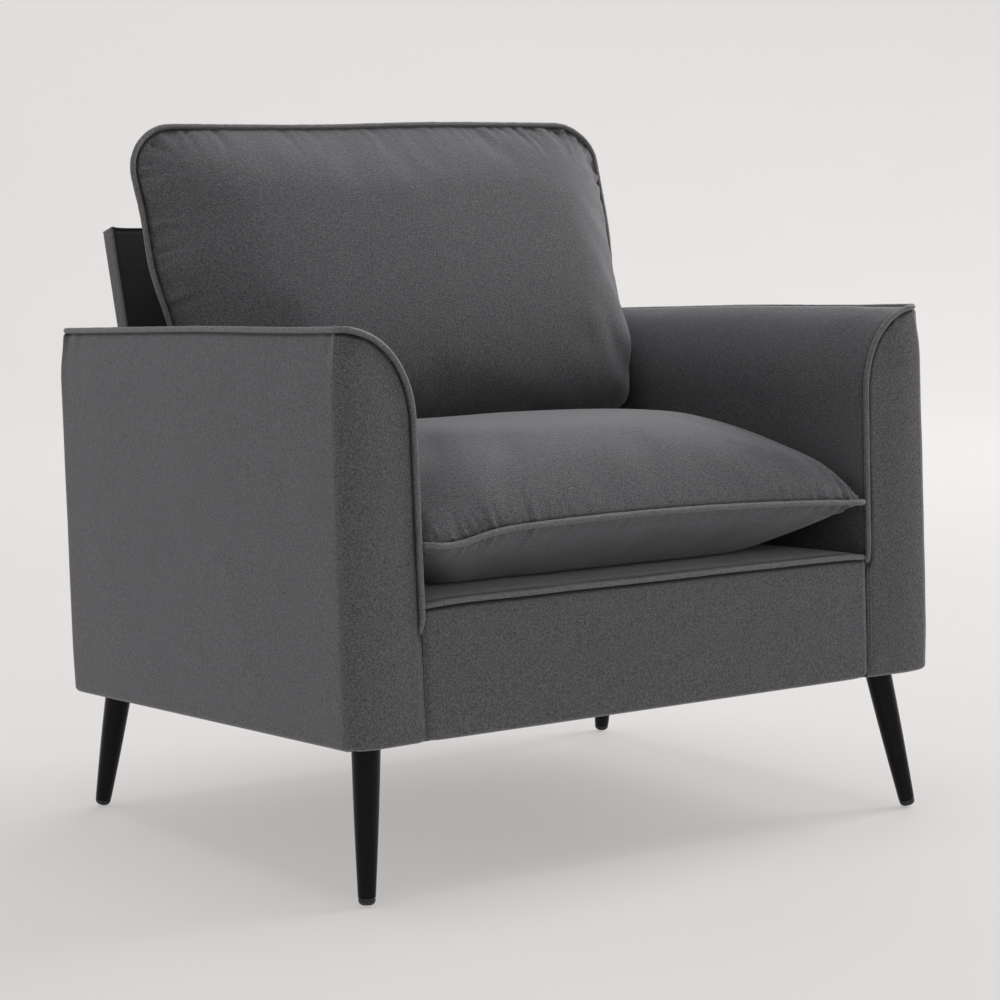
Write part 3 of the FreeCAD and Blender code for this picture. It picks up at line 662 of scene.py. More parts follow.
def arm_crown(inset, seed):
    """Grid of the inner cover: over the crown and down the inner side."""
    angles = np.linspace(0, math.pi / 2, 46)
    near_seam = np.interp(SEAM_ROWS, spans(xyz(*crown_curve(angles))), angles)
    angles = np.concatenate([near_seam, angles[angles > near_seam[-1] * 1.25]])
    u_arc, z_arc = crown_curve(angles)
    down = np.linspace(SHOULDER, 3 * MM, 44)[1:]
    u = np.concatenate([u_arc, inner_face(down)])
    z = np.concatenate([z_arc, down])
    run = spans(xyz(u, z))
    tangent_u = np.gradient(u)
    tangent_z = np.gradient(z)
    size = np.hypot(tangent_u, tangent_z)
    normal_u = -tangent_z / size
    normal_z = tangent_u / size
    y = MM + spaced(ARM_DEPTH - 2 * MM, 9 * MM) * (ARM_DEPTH - 2 * MM)
    run_grid, y_grid = np.meshgrid(run, y)
    u_grid = np.broadcast_to(u, run_grid.shape)
    z_grid = np.broadcast_to(z, run_grid.shape)
    to_end = np.minimum(y_grid - y[0], y[-1] - y_grid)
    to_top = run_grid
    depth = inset + seam_dip(to_end) + seam_dip(to_top)
    lift = ease(to_top, 2 * MM, 34 * MM) * ease(to_end, 0, 100 * MM)
    crown_share = ease(z_grid, 250 * MM, 415 * MM)
    depth = depth - lift * crown_share * 6.5 * MM
    points = xyz(u_grid, y_grid, z_grid)
    hollows = wave_noise(points, 0.16, seed) * ease(to_end, 0, 30 * MM) * crown_share
    depth = depth + 0.6 * MM * hollows
    gathers = fade(to_end, 14 * MM) * crown_share
    depth = depth + gathers * 0.45 * MM * wave_noise(points, 14 * MM, seed + 3)
    overhang = (TOP_SEAM + 1.0 * MM) * (1 - ease(u_grid, 0, 42 * MM)) * (z_grid > SHOULDER)
    x = u_grid + overhang - depth * normal_u
    top = z_grid - depth * normal_z
    cut = FOLD - np.sqrt(FOLD**2 - np.clip(FOLD - x, 0, FOLD) ** 2)
    y_grid = np.clip(y_grid, cut + MM, ARM_DEPTH - MM - cut)
    return xyz(x - ARM_OUTER, y_grid, top + arm_bow(y_grid, top))


def arm_cord_line(start):
    """Centre line of the arm's piping, from a height on the front edge."""
    sunk = -0.2 * MM
    seam = front_seam()
    seam = seam[seam[:, 1] > start]
    outward = np.gradient(seam, axis=0)
    outward = xyz(outward[:, 1], -outward[:, 0])
    outward /= np.linalg.norm(outward, axis=1)[:, None]
    line = seam - outward * sunk
    line = line[line[:, 0] > FOLD * 0.9]
    front = xyz(line[:, 0], sunk, line[:, 1])
    tail = front[0] + np.array([[-3, 10, -22], [-2.2, 5, -14], [-1, 1.5, -7]]) * MM
    level = ARM_HEIGHT + sunk
    angles = np.linspace(0.15, math.pi / 2, 7)
    inset = TOP_SEAM + (FOLD - TOP_SEAM) * (1 - np.sin(angles))
    bend = xyz(inset, sunk + FOLD * (1 - np.cos(angles)), level)
    side = xyz(TOP_SEAM, np.linspace(FOLD + 4 * MM, ARM_DEPTH / 2, 40), level)
    half = np.concatenate([tail, front, bend, side])
    rear = half[::-1].copy()
    rear[:, 1] = ARM_DEPTH - rear[:, 1]
    rear = rear[rear[:, 2] > 230 * MM]
    line = np.concatenate([half, rear[1:]])
    line[:, 0] -= ARM_OUTER
    line[:, 2] += arm_bow(line[:, 1], line[:, 2])
    return line


def build_arms():
    for side, turn, seed, start in (
        ("left", np.array, 11, WELT_START),
        ("right", mirrored, 41, WELT_START + 22 * MM),
    ):
        flip = side == "right"
        name = side + "_arm_"
        piping = name + "piping"
        wrap = sheet(name + "outer_cover_cloth", name + "outer_cover", "cover_fabric",
                     [turn(arm_wrap(0.0, seed))], FABRIC, not flip)
        crown = sheet(name + "inner_cover_cloth", name + "inner_cover", "cover_fabric",
                      [turn(arm_crown(0.0, seed + 7))], FABRIC, flip)
        cord(piping, name + "welt", CHAIR, turn(arm_cord_line(start)), seed)
        paint_seam_shade(wrap, piping)
        paint_seam_shade(crown, piping)
        layer = arm_wrap(UNDER_CLOTH, seed)[12:-6, 8:-8]
        sheet(name + "wadding_layer", name + "wadding", "fibre",
              [turn(layer)], 2 * MM, not flip)
        layer = arm_crown(UNDER_CLOTH, seed + 7)[7:-7, 7:-3]
        sheet(name + "crown_foam", name + "foam", "foam", [turn(layer)], 9 * MM, flip)


# ---- seat base
def border_grid(inset):
    """Front border between the arms: hem below, piped edge above."""
    x = across(BORDER_HALF, 9 * MM)
    heights = spaced(BORDER_HEIGHT, 7 * MM) * BORDER_HEIGHT
    heights = np.concatenate([np.linspace(0, 3 * HEM, 9), heights[heights > 3.4 * HEM]])
    x_grid, z_grid = np.meshgrid(x, heights)
    to_end = BORDER_HALF - np.abs(x_grid)
    to_top = BORDER_HEIGHT - z_grid
    points = xyz(x_grid, 0, z_grid)
    depth = inset + hem_inset(z_grid) + seam_dip(to_top) + seam_dip(to_end, 3.2 * MM, 4 * MM)
    body = ease(to_end, 0, 60 * MM) * ease(to_top, 0, 30 * MM) * ease(z_grid, 0, 40 * MM)
    depth = depth - body * (1.5 * MM + 0.6 * MM * wave_noise(points, 0.26, 23))
    ripple = fade(to_top, 14 * MM) * ease(to_end, 0, 40 * MM)
    depth = depth + ripple * 0.5 * MM * wave_noise(points, 40 * MM, 29)
    z_grid = z_grid - 2.5 * MM * fade(to_end, 22 * MM) * (z_grid / BORDER_HEIGHT)
    corner_lift = 4 * MM * fade(to_end + z_grid, 6 * MM)
    z_grid = z_grid - HEM_DROP * (1 - z_grid / BORDER_HEIGHT) + corner_lift
    face = xyz(x_grid, 0.6 * MM + depth, z_grid)
    return turned_under(face, 0, 1, inset - HEM_DROP)


def deck_grid(inset):
    """Platform cloth under the seat cushion, with a soft roll behind its piping."""
    x = across(BORDER_HALF, 14 * MM)
    depth_length = 545 * MM
    y = spaced(depth_length, 12 * MM) * depth_length
    x_grid, y_grid = np.meshgrid(x, y)
    to_end = BORDER_HALF - np.abs(x_grid)
    points = xyz(x_grid, y_grid, 0)
    z = DECK_LEVEL - seam_dip(y_grid) - seam_dip(to_end, 2.5 * MM, 6 * MM) - inset
    roll = ease(y_grid, 0, 14 * MM) * (1 - ease(y_grid, 16 * MM, 34 * MM))
    roll = roll * (1.6 * MM + 0.8 * MM * wave_noise(points, 60 * MM, 31))
    z = z + roll * ease(to_end, 0, 50 * MM)
    z = z - 2.5 * MM * fade(to_end, 22 * MM) * fade(y_grid, 30 * MM)
    return xyz(x_grid, 2 * MM + y_grid, z)


def build_base():
    border = sheet("front_border_cloth", "front_border_cover", "cover_fabric",
                   [border_grid(0.0)], FABRIC)
    sheet("front_border_pad", "front_rail_pad", "foam",
          [border_grid(UNDER_CLOTH)[12:-7, 7:-7]], 6 * MM)
    platform = sheet("deck_cloth", "deck_cover", "cover_fabric", [deck_grid(0.0)], FABRIC)
    sheet("deck_padding", "deck_pad", "foam",
          [deck_grid(UNDER_CLOTH)[7:-3, 7:-7]], 7 * MM)
    x = np.linspace(-BORDER_HALF + 1 * MM, BORDER_HALF - 1 * MM, 160)
    to_end = BORDER_HALF - np.abs(x)
    z = BORDER_HEIGHT + 0.6 * MM - 3.0 * MM * fade(to_end, 18 * MM)
    line = xyz(x, MM + 5 * MM * fade(to_end, 6 * MM), z)
    line[:, 2] += 0.5 * MM * wave_noise(line, 0.15, 37)
    cord("front_border_piping", "front_border_welt", CHAIR, line, 39)
    paint_seam_shade(border, "front_border_piping")
    paint_seam_shade(platform, "front_border_piping")


# ---- back panel
def panel_place(forward, up):
    """(y, z) in the body's frame of points in front of the panel and up it."""
    y = BACK_FOOT.y + up * math.sin(RAKE) - forward * math.cos(RAKE)
    z = BACK_FOOT.z + up * math.cos(RAKE) + forward * math.sin(RAKE)
    return y, z


def back_rows(inset):
    """Front edge and rear edge of the back's side, from the floor line to the top."""
    share = spaced(1.0, 0.03)
    foot = -BACK_FOOT.z / math.cos(RAKE)
    front_y, front_z = panel_place(-inset, foot + (BACK_RISE - inset - foot) * share)
    top_y, top_z = panel_place(-BACK_THICKNESS + inset, BACK_RISE - inset)
    rear_z = share * top_z
    raked = top_y - (top_z - rear_z) * math.tan(RAKE)
    upright = BACK_REAR - inset
    soft = 14 * MM
    gap = raked - upright
    rear_y = upright + (gap + np.sqrt(gap**2 + soft**2)) / 2 - soft / 4 * fade(np.abs(gap), soft)
    return front_y, front_z, rear_y, rear_z


def back_shell(inset):
    """Outer cover of the back: side strips and outside back, then the top strip."""
    front_y, front_z, rear_y, rear_z = back_rows(inset)
    half = BACK_HALF - inset
    strip = np.concatenate([[0, 0.04, 0.1, 0.2], np.linspace(0.3, 0.8, 5)])
    bend = 5 * MM
    columns = []
    for share in strip:
        y = front_y + (rear_y - front_y) * share
        z = front_z + (rear_z - front_z) * share
        width = half - 0.8 * MM * math.exp(-share / 0.06)
        columns.append(xyz(-width, y, z))
    for angle in np.linspace(0.2, math.pi / 2 - 0.2, 4):
        y = rear_y - bend + bend * math.sin(angle)
        columns.append(xyz(-half + bend * (1 - math.cos(angle)), y, rear_z))
    for x in np.linspace(-half + bend, 0, 30):
        to_end = half - abs(x)
        sag = 1.2 * MM * float(ease(to_end, 0, 0.12))
        y = rear_y - sag * np.sin(np.clip(rear_z / rear_z[-1], 0, 1) * math.pi)
        columns.append(xyz(x, y, rear_z))
    left = np.stack(columns, axis=1)
    right = mirrored(left[:, :-1])[:, ::-1]
    wrap = np.concatenate([left, right], axis=1)
    wrap[..., 1] += 0.5 * MM * wave_noise(wrap, 0.3, 51) * (np.abs(wrap[..., 0]) < half - bend)
    top_x = across(half, 12 * MM)
    top_share = np.linspace(0, 1, 8)
    top_y = front_y[-1] + (rear_y[-1] - front_y[-1]) * top_share
    top_z = front_z[-1] + (rear_z[-1] - front_z[-1]) * top_share
    x_grid, y_grid = np.meshgrid(top_x, top_y)
    _, z_grid = np.meshgrid(top_x, top_z)
    to_end = half - np.abs(x_grid)
    peak = 2.5 * MM * fade(to_end, 9 * MM)
    dome = 0.8 * MM * np.sin(np.linspace(0, math.pi, 8))[:, None] * ease(to_end, 0, 20 * MM)
    top = xyz(x_grid, y_grid, z_grid + peak + dome)
    wrap[..., 2] += peak_at_corners(wrap, half, rear_z[-1])
    return wrap, top


def peak_at_corners(points, half, level):
    """The sewn corners of the back stand up a little."""
    to_side = half - np.abs(points[..., 0])
    to_top = level - points[..., 2]
    return 2.5 * MM * fade(to_side, 9 * MM) * fade(np.clip(to_top, 0, 1), 8 * MM)


def back_front(inset):
    """Inside back, from the deck to the top seam."""
    half = BACK_HALF - 1.0 * MM
    x = across(half, 12 * MM)
    rise = BACK_RISE - 1.0 * MM
    up = spaced(rise, 12 * MM) * rise
    x_grid, up_grid = np.meshgrid(x, up)
    to_end = np.minimum(half - np.abs(x_grid), rise - up_grid)
    depth = inset + seam_dip(to_end, 1.2 * MM, 3 * MM)
    y, z = panel_place(-depth, up_grid)
    return xyz(x_grid, y, z)


def build_back():
    wrap, top = back_shell(0.0)
    sheet("back_outer_cloth", "back_outer_cover", "cover_fabric", [wrap, top[:, ::-1]], 1.2 * MM)
    # The inside back gets the near-black colour of the lining cloth, far darker than the cover
    # cloth round it.
    sheet("back_inner_cloth", "back_inner_cover", "lining_cloth", [back_front(0.0)], 1 * MM)
    sheet("back_padding", "back_pad", "foam",
          [back_front(1.8 * MM)[3:-5, 5:-5]], 2.6 * MM)


# ---- cushions
def cushion_spacing(count):
    """Shares from -1 to 1, twice as close together at the edges as in the middle."""
    even = np.linspace(-1, 1, count)
    return even * (1.25 - 0.25 * even**2)


def rounded_rows(low, high, radius_low, radius_high, step):
    """Rows along a cushion whose corners are arcs, and how far each row pulls in."""
    quarter = np.linspace(0, math.pi / 2, 7)[:-1]
    first = low + radius_low * (1 - np.cos(quarter))
    first_pull = radius_low * (1 - np.sin(quarter))
    last = high - radius_high * (1 - np.cos(quarter))
    last_pull = radius_high * (1 - np.sin(quarter))
    start = low + radius_low
    end = high - radius_high
    straight = np.linspace(start, end, int((end - start) / step) + 1)
    rows = np.concatenate([first, straight, last[::-1]])
    pull = np.concatenate([first_pull, 0 * straight, last_pull[::-1]])
    return rows, pull


def rise(distance, reach, power):
    """How full a cushion is at a distance in from its seam."""
    return 1 - np.exp(-((np.clip(distance, 0, None) / reach) ** power))


def pillow(name, front, rear, matrix):
    """Closed cushion from two grids that share their outer ring of points."""
    rows, columns = front.shape[:2]
    index = np.arange(rows * columns).reshape(rows, columns)
    back_index = np.full((rows, columns), -1)
    edge = np.zeros((rows, columns), bool)
    edge[0] = edge[-1] = True
    edge[:, 0] = edge[:, -1] = True
    back_index[edge] = index[edge]
    inner = ~edge
    back_index[inner] = rows * columns + np.arange(inner.sum())
    vertices = np.concatenate([front.reshape(-1, 3), rear[inner]])
    faces = grid_faces(rows, columns)
    for row in range(rows - 1):
        for column in range(columns - 1):
            faces.append((
                int(back_index[row, column]),
                int(back_index[row + 1, column]),
                int(back_index[row + 1, column + 1]),
                int(back_index[row, column + 1]),
            ))
    made = new_object(name, vertices, faces, matrix)
    ring = np.concatenate([index[0, :-1], index[:-1, -1], index[-1, :0:-1], index[:0:-1, 0]])
    return made, ring


CLOTH_FRAMES = 20
CLOTH_SETTINGS = {
    "quality": 6, "mass": 0.25, "tension_stiffness": 18, "compression_stiffness": 12,
    "shear_stiffness": 6, "bending_stiffness": 0.35, "tension_damping": 12,
    "compression_damping": 12, "shear_damping": 8, "use_pressure": True,
    "vertex_group_mass": "seam", "pin_stiffness": 5,
}


def simulate(piece, ring, pressure, excess, cap):
    """Cloth under pressure from inside, held at its seam, then the result kept."""
    start = coordinates(piece)
    pins = piece.vertex_groups.new(name="seam")
    pins.add([int(i) for i in ring], 1.0, "REPLACE")
    modifier = piece.modifiers.new("cloth", "CLOTH")
    settings = modifier.settings
    for key, value in CLOTH_SETTINGS.items():
        setattr(settings, key, value)
    settings.uniform_pressure_force = pressure
    settings.shrink_min = settings.shrink_max = -excess
    settings.effector_weights.gravity = 0
    modifier.collision_settings.use_collision = False
    modifier.point_cache.frame_start = 1
    modifier.point_cache.frame_end = CLOTH_FRAMES
    scene = bpy.context.scene
    for number in range(1, CLOTH_FRAMES + 1):
        scene.frame_set(number)
    evaluated = piece.evaluated_get(bpy.context.evaluated_depsgraph_get())
    moved = coordinates(evaluated) - start
    piece.modifiers.remove(modifier)
    piece.vertex_groups.remove(pins)
    scene.frame_set(1)
    size = np.linalg.norm(moved, axis=1)[:, None]
    limited = moved * np.minimum(1, cap / np.maximum(size, 1e-9))
    set_coordinates(piece, start + limited)


def seat_shape():
    """Crowned seat cushion: top and bottom grids around a bowed front seam."""
    low, high = -4 * MM, 546 * MM
    half = 304 * MM
    y, pull = rounded_rows(low, high, 17 * MM, 30 * MM, 8 * MM)
    share = cushion_spacing(81)
    x = share[None, :] * (half - pull)[:, None]
    y = np.repeat(y[:, None], x.shape[1], axis=1)
    middle = 1 - (x / half) ** 2
    front_share = 1 - ease(y, low, 140 * MM)
    y = y - 3 * MM * front_share * (1 - middle) ** 3
    seam = 206 * MM + front_share * (9.5 * MM * middle - 2 * MM * x / half)
    seam = seam - 8.5 * MM * bell(x + 272 * MM, 42 * MM) * front_share
    seam = seam + 3 * MM * (1 - front_share)
    from_side = half - pull[:, None] - np.abs(x)
    from_front = y - y[0][None, :]
    from_rear = high - y
    fullness = rise(from_side, 25 * MM, 0.60) * rise(from_front, 38 * MM, 0.68)
    fullness = fullness * rise(from_rear, 60 * MM, 0.85)
    slump = 1 - 0.16 * ease(y, 250 * MM, 520 * MM)
    top_height = 108 * MM * fullness * slump * (1 + 0.06 * ease(-x, 60 * MM, 250 * MM))
    under_side = rise(from_side, 20 * MM, 1.1) * rise(from_front, 45 * MM, 0.75)
    under = under_side * rise(from_rear, 4 * MM, 1.0)
    bottom = seam - (seam - 147.5 * MM) * under
    return xyz(x, y, seam + top_height), xyz(x, y, bottom)


def space_between_arms(z):
    """Half the width between the arms at a height, following their rounded crowns."""
    share = np.clip((z - ARM_RISE - SHOULDER) / CROWN, 0, 1)
    crown = ARM_WAIST * (1 - share**CROWN_POWER) ** (1 / CROWN_POWER)
    return ARM_OUTER - np.where(z > SHOULDER, crown, inner_face(z))


def back_half_width(up):
    """Half width of the back cushion at its seam: narrow between the arms, wide above."""
    _, z = panel_place(SEAM_OFFSET, up)
    between = space_between_arms(z) - 7 * MM
    above = 321 * MM + 14 * MM * ease(up, 240 * MM, 340 * MM)
    above = above + 4 * MM * bell(up - 444 * MM, 32 * MM)
    return np.minimum(between, above)


def back_shape():
    """Pillow back cushion in the panel's frame: x, distance behind, up."""
    low, high = 131 * MM, 498.5 * MM
    up, pull = rounded_rows(low, high, 22 * MM, 52 * MM, 8 * MM)
    share = cushion_spacing(83)
    width = (back_half_width(up) - pull)[:, None]
    slim = np.minimum(width, (319 * MM + 16 * MM * ease(up, 215 * MM, 380 * MM))[:, None])
    width = np.where(share[None, :] > 0, slim, width)
    x = share[None, :] * width
    up = np.repeat(up[:, None], x.shape[1], axis=1)
    crest = 1.3 * MM + 3.3 * MM * np.tanh(x / (90 * MM))
    lifted = up + crest * (up - low) / (high - low)
    from_side = width - np.abs(x)
    from_top = high - up
    from_foot = up - low
    squeezed = 1 - ease(up, 185 * MM, 395 * MM)
    reach = (66 * MM - 38 * MM * squeezed) * (1 - 0.3 * ease(x, 60 * MM, 280 * MM))
    side_full = rise(from_side, reach, 0.80)
    front = side_full * rise(from_top, 100 * MM, 0.95) * rise(from_foot, 24 * MM, 0.85)
    front = (BACK_FULLNESS + 8 * MM * squeezed) * front
    belly = front / BACK_FULLNESS
    rear = 141 * MM * rise(from_side, 88 * MM, 1.08) * rise(from_top, 60 * MM, 1.0)
    rear = np.minimum(rear * rise(from_foot, 5 * MM, 1.0), SEAM_OFFSET - 2 * MM)
    sag = 100 * MM * belly * fade(from_foot, 60 * MM)
    spread = 1 + 0.030 * belly * (1 - ease(up, 150 * MM, 320 * MM)) * (x > 0)
    front = xyz(x * spread, -SEAM_OFFSET - front, lifted - sag)
    return front, xyz(x, -SEAM_OFFSET + rear, lifted)


def ring_line(piece, ring, matrix):
    return local(coordinates(piece)[ring], matrix)


def outward(line, normal, amount):
    """A closed line moved outwards in its plane."""
    heading = np.roll(line, -1, axis=0) - np.roll(line, 1, axis=0)
    away = np.cross(heading, normal)
    away /= np.linalg.norm(away, axis=1)[:, None]
    if ((line - line.mean(axis=0)) * away).sum() < 0:
        away = -away
    return line + away * amount


def settle_seat(seat, back):
    """Flattens the seat cushion where it rests, and where the back cushion sits on it."""
    points = local(coordinates(seat), BODY)
    side, rear, under = BORDER_HALF - 0.5 * MM, 545.6 * MM, DECK_LEVEL + 1.8 * MM
    points[:, 2] = np.maximum(points[:, 2], under)
    points[:, 1] = np.minimum(points[:, 1], rear)
    points[:, 0] = np.clip(points[:, 0], -side, side)
    tree = BVHTree.FromObject(back, bpy.context.evaluated_depsgraph_get())
    up = BODY.to_3x3() @ Vector((0, 0, 1))
    placed = world(points, BODY)
    below = 0.12
    for index in np.nonzero((points[:, 1] > 330 * MM) & (points[:, 2] > 212 * MM))[0]:
        hit, _, _, distance = tree.ray_cast(Vector(placed[index]) - up * below, up, 0.4)
        if hit is not None:
            points[index, 2] += min(0, distance - below - 1.2 * MM)
    set_coordinates(seat, world(points, BODY))


def settle_back(back):
    """Keeps the back cushion off the panel and between the arms."""
    points = local(coordinates(back), PANEL)
    points[:, 1] = np.minimum(points[:, 1], -1.6 * MM)
    behind = points[:, 1] > -SEAM_OFFSET
    points[behind, 2] = np.maximum(points[behind, 2], 130.3 * MM)
    in_body = local(world(points, PANEL), BODY)
    width = space_between_arms(in_body[:, 2]) - 3 * MM
    points[:, 0] = np.clip(points[:, 0], -width, width)
    set_coordinates(back, world(points, PANEL))


def relax(piece, ring, passes, strength=0.5):
    """Evens out sharp creases left by the simulation; the seam stays put."""
    edges = read(piece.data.edges, "vertices", 2, int)
    points = coordinates(piece)
    count = np.bincount(edges.reshape(-1), minlength=len(points))[:, None]
    held = np.zeros(len(points), bool)
    held[ring] = True
    for _ in range(passes):
        total = np.zeros_like(points)
        np.add.at(total, edges[:, 0], points[edges[:, 1]])
        np.add.at(total, edges[:, 1], points[edges[:, 0]])
        target = points + (total / count - points) * strength
        target[held] = points[held]
        points = target
    set_coordinates(piece, points)


def stuffing(name, cushion, depth):
    """The filling: the cushion's form without its creases, a little smaller all round."""
    mesh = cushion.data.copy()
    mesh.name = name
    made = add_object(name, mesh)
    relax(made, np.array([], int), 40)
    points = coordinates(made)
    middle = (points.min(axis=0) + points.max(axis=0)) / 2
    points = middle + (points - middle) * 0.97 - normals_of(made) * depth
    cover = BVHTree.FromObject(cushion, bpy.context.evaluated_depsgraph_get())
    for _ in range(6):
        for index, point in enumerate(points):
            place, normal, _, _ = cover.find_nearest(point)
            if (Vector(point) - place).dot(normal) > -1.5 * MM:
                points[index] = middle + (point - middle) * 0.96
    set_coordinates(made, points)
    return made


def refine(piece, ring):
    """One subdivision, kept in the mesh; the seam stays a sharp crest."""
    on_ring = set(int(index) for index in ring)
    crease = piece.data.attributes.new("crease_edge", "FLOAT", "EDGE")
    for edge in piece.data.edges:
        first, second = edge.vertices
        crease.data[edge.index].value = float(first in on_ring and second in on_ring)
    finer = piece.modifiers.new("finer", "SUBSURF")
    finer.levels = 1
    finer.render_levels = 1
    evaluated = piece.evaluated_get(bpy.context.evaluated_depsgraph_get())
    mesh = bpy.data.meshes.new_from_object(evaluated)
    piece.modifiers.clear()
    piece.data = mesh
    mesh.shade_smooth()


def normals_of(piece):
    return read(piece.data.vertices, "normal")


def gather(piece, line, depth, reach, spacing, seed, places, floor=0.25, spread=110 * MM):
    """Small pleats that run in from a seam and fade out, strongest near some places."""
    points = coordinates(piece)
    line = resample(line, 1.5 * MM, closed=True)
    along = spans(line)
    nearest, distance = nearest_on(line, points)
    where = along[nearest] + 0.12 * distance * wave_noise(points, 60 * MM, seed)
    reaches = reach * (1 + 0.55 * pleat_wave(where, spacing * 2.7, seed + 1))
    strength = np.exp(-((distance / np.maximum(reaches, 5 * MM)) ** 1.5))
    strength = strength * ease(distance, 1 * MM, 6 * MM)
    close = np.full(len(points), floor)
    for place in places:
        gap = np.linalg.norm(points - place, axis=1)
        close = np.maximum(close, bell(gap, spread))
    wave = pleat_wave(where, spacing, seed + 2)
    fold = -depth * strength * close * (0.35 + wave)
    points = points + normals_of(piece) * fold[:, None]
    set_coordinates(piece, points)


def build_cushions():
    seat, seat_ring = pillow("seat_cushion_cloth", *seat_shape(), BODY)
    back, back_ring = pillow("back_cushion_cloth", *back_shape(), PANEL)
    simulate(seat, seat_ring, pressure=2.0, excess=0.006, cap=9 * MM)
    simulate(back, back_ring, pressure=2.0, excess=0.014, cap=12 * MM)
    relax(seat, seat_ring, 7)
    relax(back, back_ring, 4)
    seat_line = ring_line(seat, seat_ring, BODY)
    back_line = ring_line(back, back_ring, PANEL)
    refine(seat, seat_ring)
    refine(back, back_ring)
    seat_corners = np.array([[-290, 10, 204], [290, 10, 206], [-225, -2, 208]]) * MM
    gather(seat, world(seat_line, BODY), 2.4 * MM, 19 * MM, 13 * MM, 71, world(seat_corners, BODY))
    back_corners = np.array([
        [-325, -135, 470], [-335, -135, 400], [-330, -135, 330], [320, -135, 480], [270, -135, 505],
    ]) * MM
    back_corners = world(back_corners, PANEL)
    gather(back, world(back_line, PANEL), 3.6 * MM, 30 * MM, 22 * MM, 83, back_corners)
    settle_back(back)
    settle_seat(seat, back)
    seat_fill = stuffing("seat_cushion_core", seat, 3 * MM)
    back_fill = stuffing("back_cushion_filling", back, 3 * MM)
    for piece, body, slot, node, fill in (
        (seat, SEAT, "cover_fabric", "seat_cushion_cover", 0.9),
        (back, BACK, "cover_fabric", "back_cushion_cover", 0.75),
        (seat_fill, SEAT, "foam", "seat_cushion_foam", 0.9),
        (back_fill, BACK, "fibre", "back_cushion_fill", 0.75),
    ):
        finish_piece(piece, body, slot, node)
    for piece, body, line, normal, matrix, seed in (
        (seat, SEAT, seat_line, (0, 0, 1), BODY, 61),
        (back, BACK, back_line, (0, 1, 0), PANEL, 67),
    ):
        line = outward(line, normal, PIPING_STAND_OUT)
        cord(body + "_piping", body + "_welt", body, line, seed, True, matrix)
        paint_seam_shade(piece, body + "_piping")


# ---- legs
def turned(name, foot, axis, profile, sides=40):
    """Round solid from (distance along the axis, radius) pairs."""
    side = axis.orthogonal().normalized()
    other = axis.cross(side)
    vertices = []
    for along, radius in profile:
        centre = foot + axis * along
        for index in range(sides):
            angle = 2 * math.pi * index / sides
            out = side * math.cos(angle) + other * math.sin(angle)
            vertices.append(centre + out * radius)
    faces = grid_faces(len(profile), sides, closed=True) + end_caps(len(profile), sides)
    return new_object(name, vertices, faces, Matrix.Identity(4))


def leg_line(node):
    """Foot centre on the floor and the direction of a leg, from its CAD solid."""
    leg = frame["nodes"][node]
    points = np.array([vertex.co for vertex in leg.data.vertices])
    height = points[:, 2].max() - points[:, 2].min()
    low_end = points[points[:, 2] < points[:, 2].min() + 0.06 * height]
    high_end = points[points[:, 2] > points[:, 2].max() - 0.05 * height]
    bottom = Vector((low_end.min(axis=0) + low_end.max(axis=0)) / 2)
    top = Vector((high_end.min(axis=0) + high_end.max(axis=0)) / 2)
    axis = (top - bottom).normalized()
    foot = bottom - axis * (bottom.z / axis.z)
    return foot, axis, (top.z - foot.z) / axis.z


def build_legs():
    glides = []
    for corner in ("front_left", "front_right", "rear_left", "rear_right"):
        foot, axis, length = leg_line(corner + "_leg")
        taper = (LEG_TOP - LEG_TIP) / length
        profile = [(GLIDE_TOP + along * MM, radius * MM)
                   for along, radius in ((0.4, 8.2), (0.5, 8.9), (1.3, 9.3))]
        for share in np.linspace(0.03, 1.0, 24):
            along = GLIDE_TOP + (length - GLIDE_TOP) * share
            belly = 0.5 * MM * math.sin(math.pi * share)
            profile.append((along, LEG_TIP + taper * along + belly))
        profile.append((length + 3 * MM, LEG_TOP))
        leg = turned(corner + "_turned_leg", foot, axis, profile)
        finish_piece(leg, CHAIR, "black_wood", corner + "_leg")
        lift = 8.0 * MM * math.sqrt(1 - axis.z**2)
        profile = [(start + along * MM, radius * MM) for start, along, radius in (
            (lift, 0, 3.2), (lift, 0.3, 5.0), (lift, 1.2, 6.8), (lift, 2.6, 8.1), (lift, 4.2, 8.8),
            (GLIDE_TOP, -0.6, 9.1), (GLIDE_TOP, 0, 8.7), (GLIDE_TOP, 0.4, 7.8),
        )]
        glides.append(turned(corner + "_glide_cap", foot, axis, profile))
    for glide in glides:
        finish_piece(glide, CHAIR, "glide_plastic")
    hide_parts("leg_glides")


# ---- studio
def build_camera():
    """Three-quarter view from the front left, slightly above arm height."""
    yaw, pitch, roll = 0.6136, 0.1088, -0.0102
    focal_in_widths = 2.7023
    level = math.cos(pitch)
    forward = Vector((math.sin(yaw) * level, math.cos(yaw) * level, -math.sin(pitch)))
    right = Vector((math.cos(yaw), -math.sin(yaw), 0))
    up = right.cross(forward)
    right, up = (
        right * math.cos(roll) + up * math.sin(roll),
        up * math.cos(roll) - right * math.sin(roll),
    )
    data = bpy.data.cameras.new("camera")
    data.sensor_width = 36
    data.lens = 36 * focal_in_widths
    data.clip_end = 100
    camera = add_object("camera", data)
    place = Vector((-1.8233, border_low[1] - 2.2847, 0.7139))
    turn = Matrix((right, up, -forward)).transposed().to_4x4()
    camera.matrix_world = Matrix.Translation(place) @ turn
    bpy.context.scene.camera = camera


def area_light(name, place, target, size, power):
    data = bpy.data.lights.new(name, "AREA")
    data.shape = "RECTANGLE"
    data.size, data.size_y = size
    data.energy = power
    light = add_object(name, data)
    heading = Vector(target) - Vector(place)
    turn = heading.to_track_quat("-Z", "Y").to_matrix().to_4x4()
    light.matrix_world = Matrix.Translation(place) @ turn


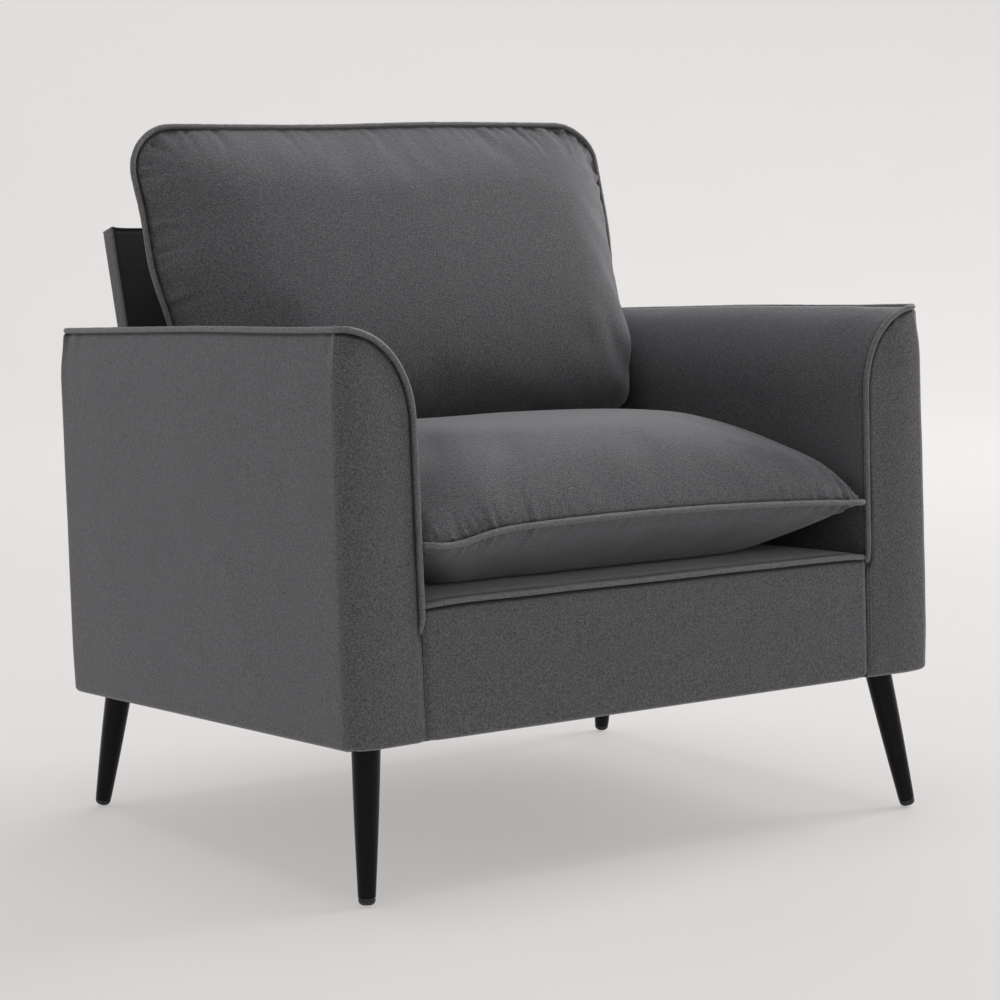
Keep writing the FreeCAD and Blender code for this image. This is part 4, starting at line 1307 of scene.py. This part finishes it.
def build_studio():
    """Pale, faintly glowing floor that turns up into a wall all round, and soft light."""
    flat, bend, wall = 5.5, 3.0, 3.0
    profile = [(0.0, 0.0), (1.2, 0.0), (3.0, 0.0), (flat, 0.0)]
    for angle in np.linspace(0, math.pi / 2, 14)[1:]:
        profile.append((flat + bend * math.sin(angle), bend * (1 - math.cos(angle))))
    profile.append((flat + bend, bend + wall))
    sides = 96
    vertices = [(0.0, 0.0, 0.0)]
    for radius, height in profile[1:]:
        for index in range(sides):
            angle = 2 * math.pi * index / sides
            vertices.append((radius * math.cos(angle), radius * math.sin(angle), height))
    faces = [(0, 1 + (i + 1) % sides, 1 + i) for i in range(sides)]
    faces += grid_faces(len(profile) - 1, sides, closed=True, offset=1)
    floor = new_object("studio_floor", vertices, faces, Matrix.Identity(4))
    floor.data.flip_normals()
    paper = Surface("studio_paper", (1, 1, 1), 0.9)
    grain = paper.noise(3.0, 3.0, 0.5)
    paper.feed(paper.shader, {
        "Base Color": paper.mix(grain, (0.415, 0.402, 0.397, 1), (0.430, 0.417, 0.412, 1)),
        "Emission Color": (1.0, 0.975, 0.965, 1),
        "Emission Strength": 0.38,
    })
    floor.data.materials.append(paper.material)
    scene = bpy.context.scene
    scene.view_settings.view_transform = "Standard"
    scene.world = bpy.data.worlds.new("studio")
    scene.world.use_nodes = True
    background = scene.world.node_tree.nodes["Background"]
    background.inputs["Color"].default_value = (0.94, 0.96, 1.0, 1.0)
    background.inputs["Strength"].default_value = 0.21
    middle = (0, 0, 0.4)
    for name, place, target, size, power in (
        ("left_rear_softbox", (-4.8, 4.2, 4.2), middle, (3.2, 3.2), 12),
        ("right_softbox", (6.4, -0.4, 4.0), middle, (3.4, 3.4), 206),
        ("right_rear_softbox", (4.6, 4.0, 4.6), middle, (3.0, 3.0), 62),
        ("overhead_softbox", (0.0, 0.3, 5.5), middle, (3.4, 3.4), 84),
        ("wall_wash", (2.6, 3.4, 4.6), (6.0, 8.0, 1.6), (4.5, 2.5), 64),
    ):
        area_light(name, place, target, size, power)


build_camera()
dress_cad_nodes()
build_arms()
build_base()
build_back()
build_cushions()
build_legs()
build_studio()

bpy.context.view_layer.update()
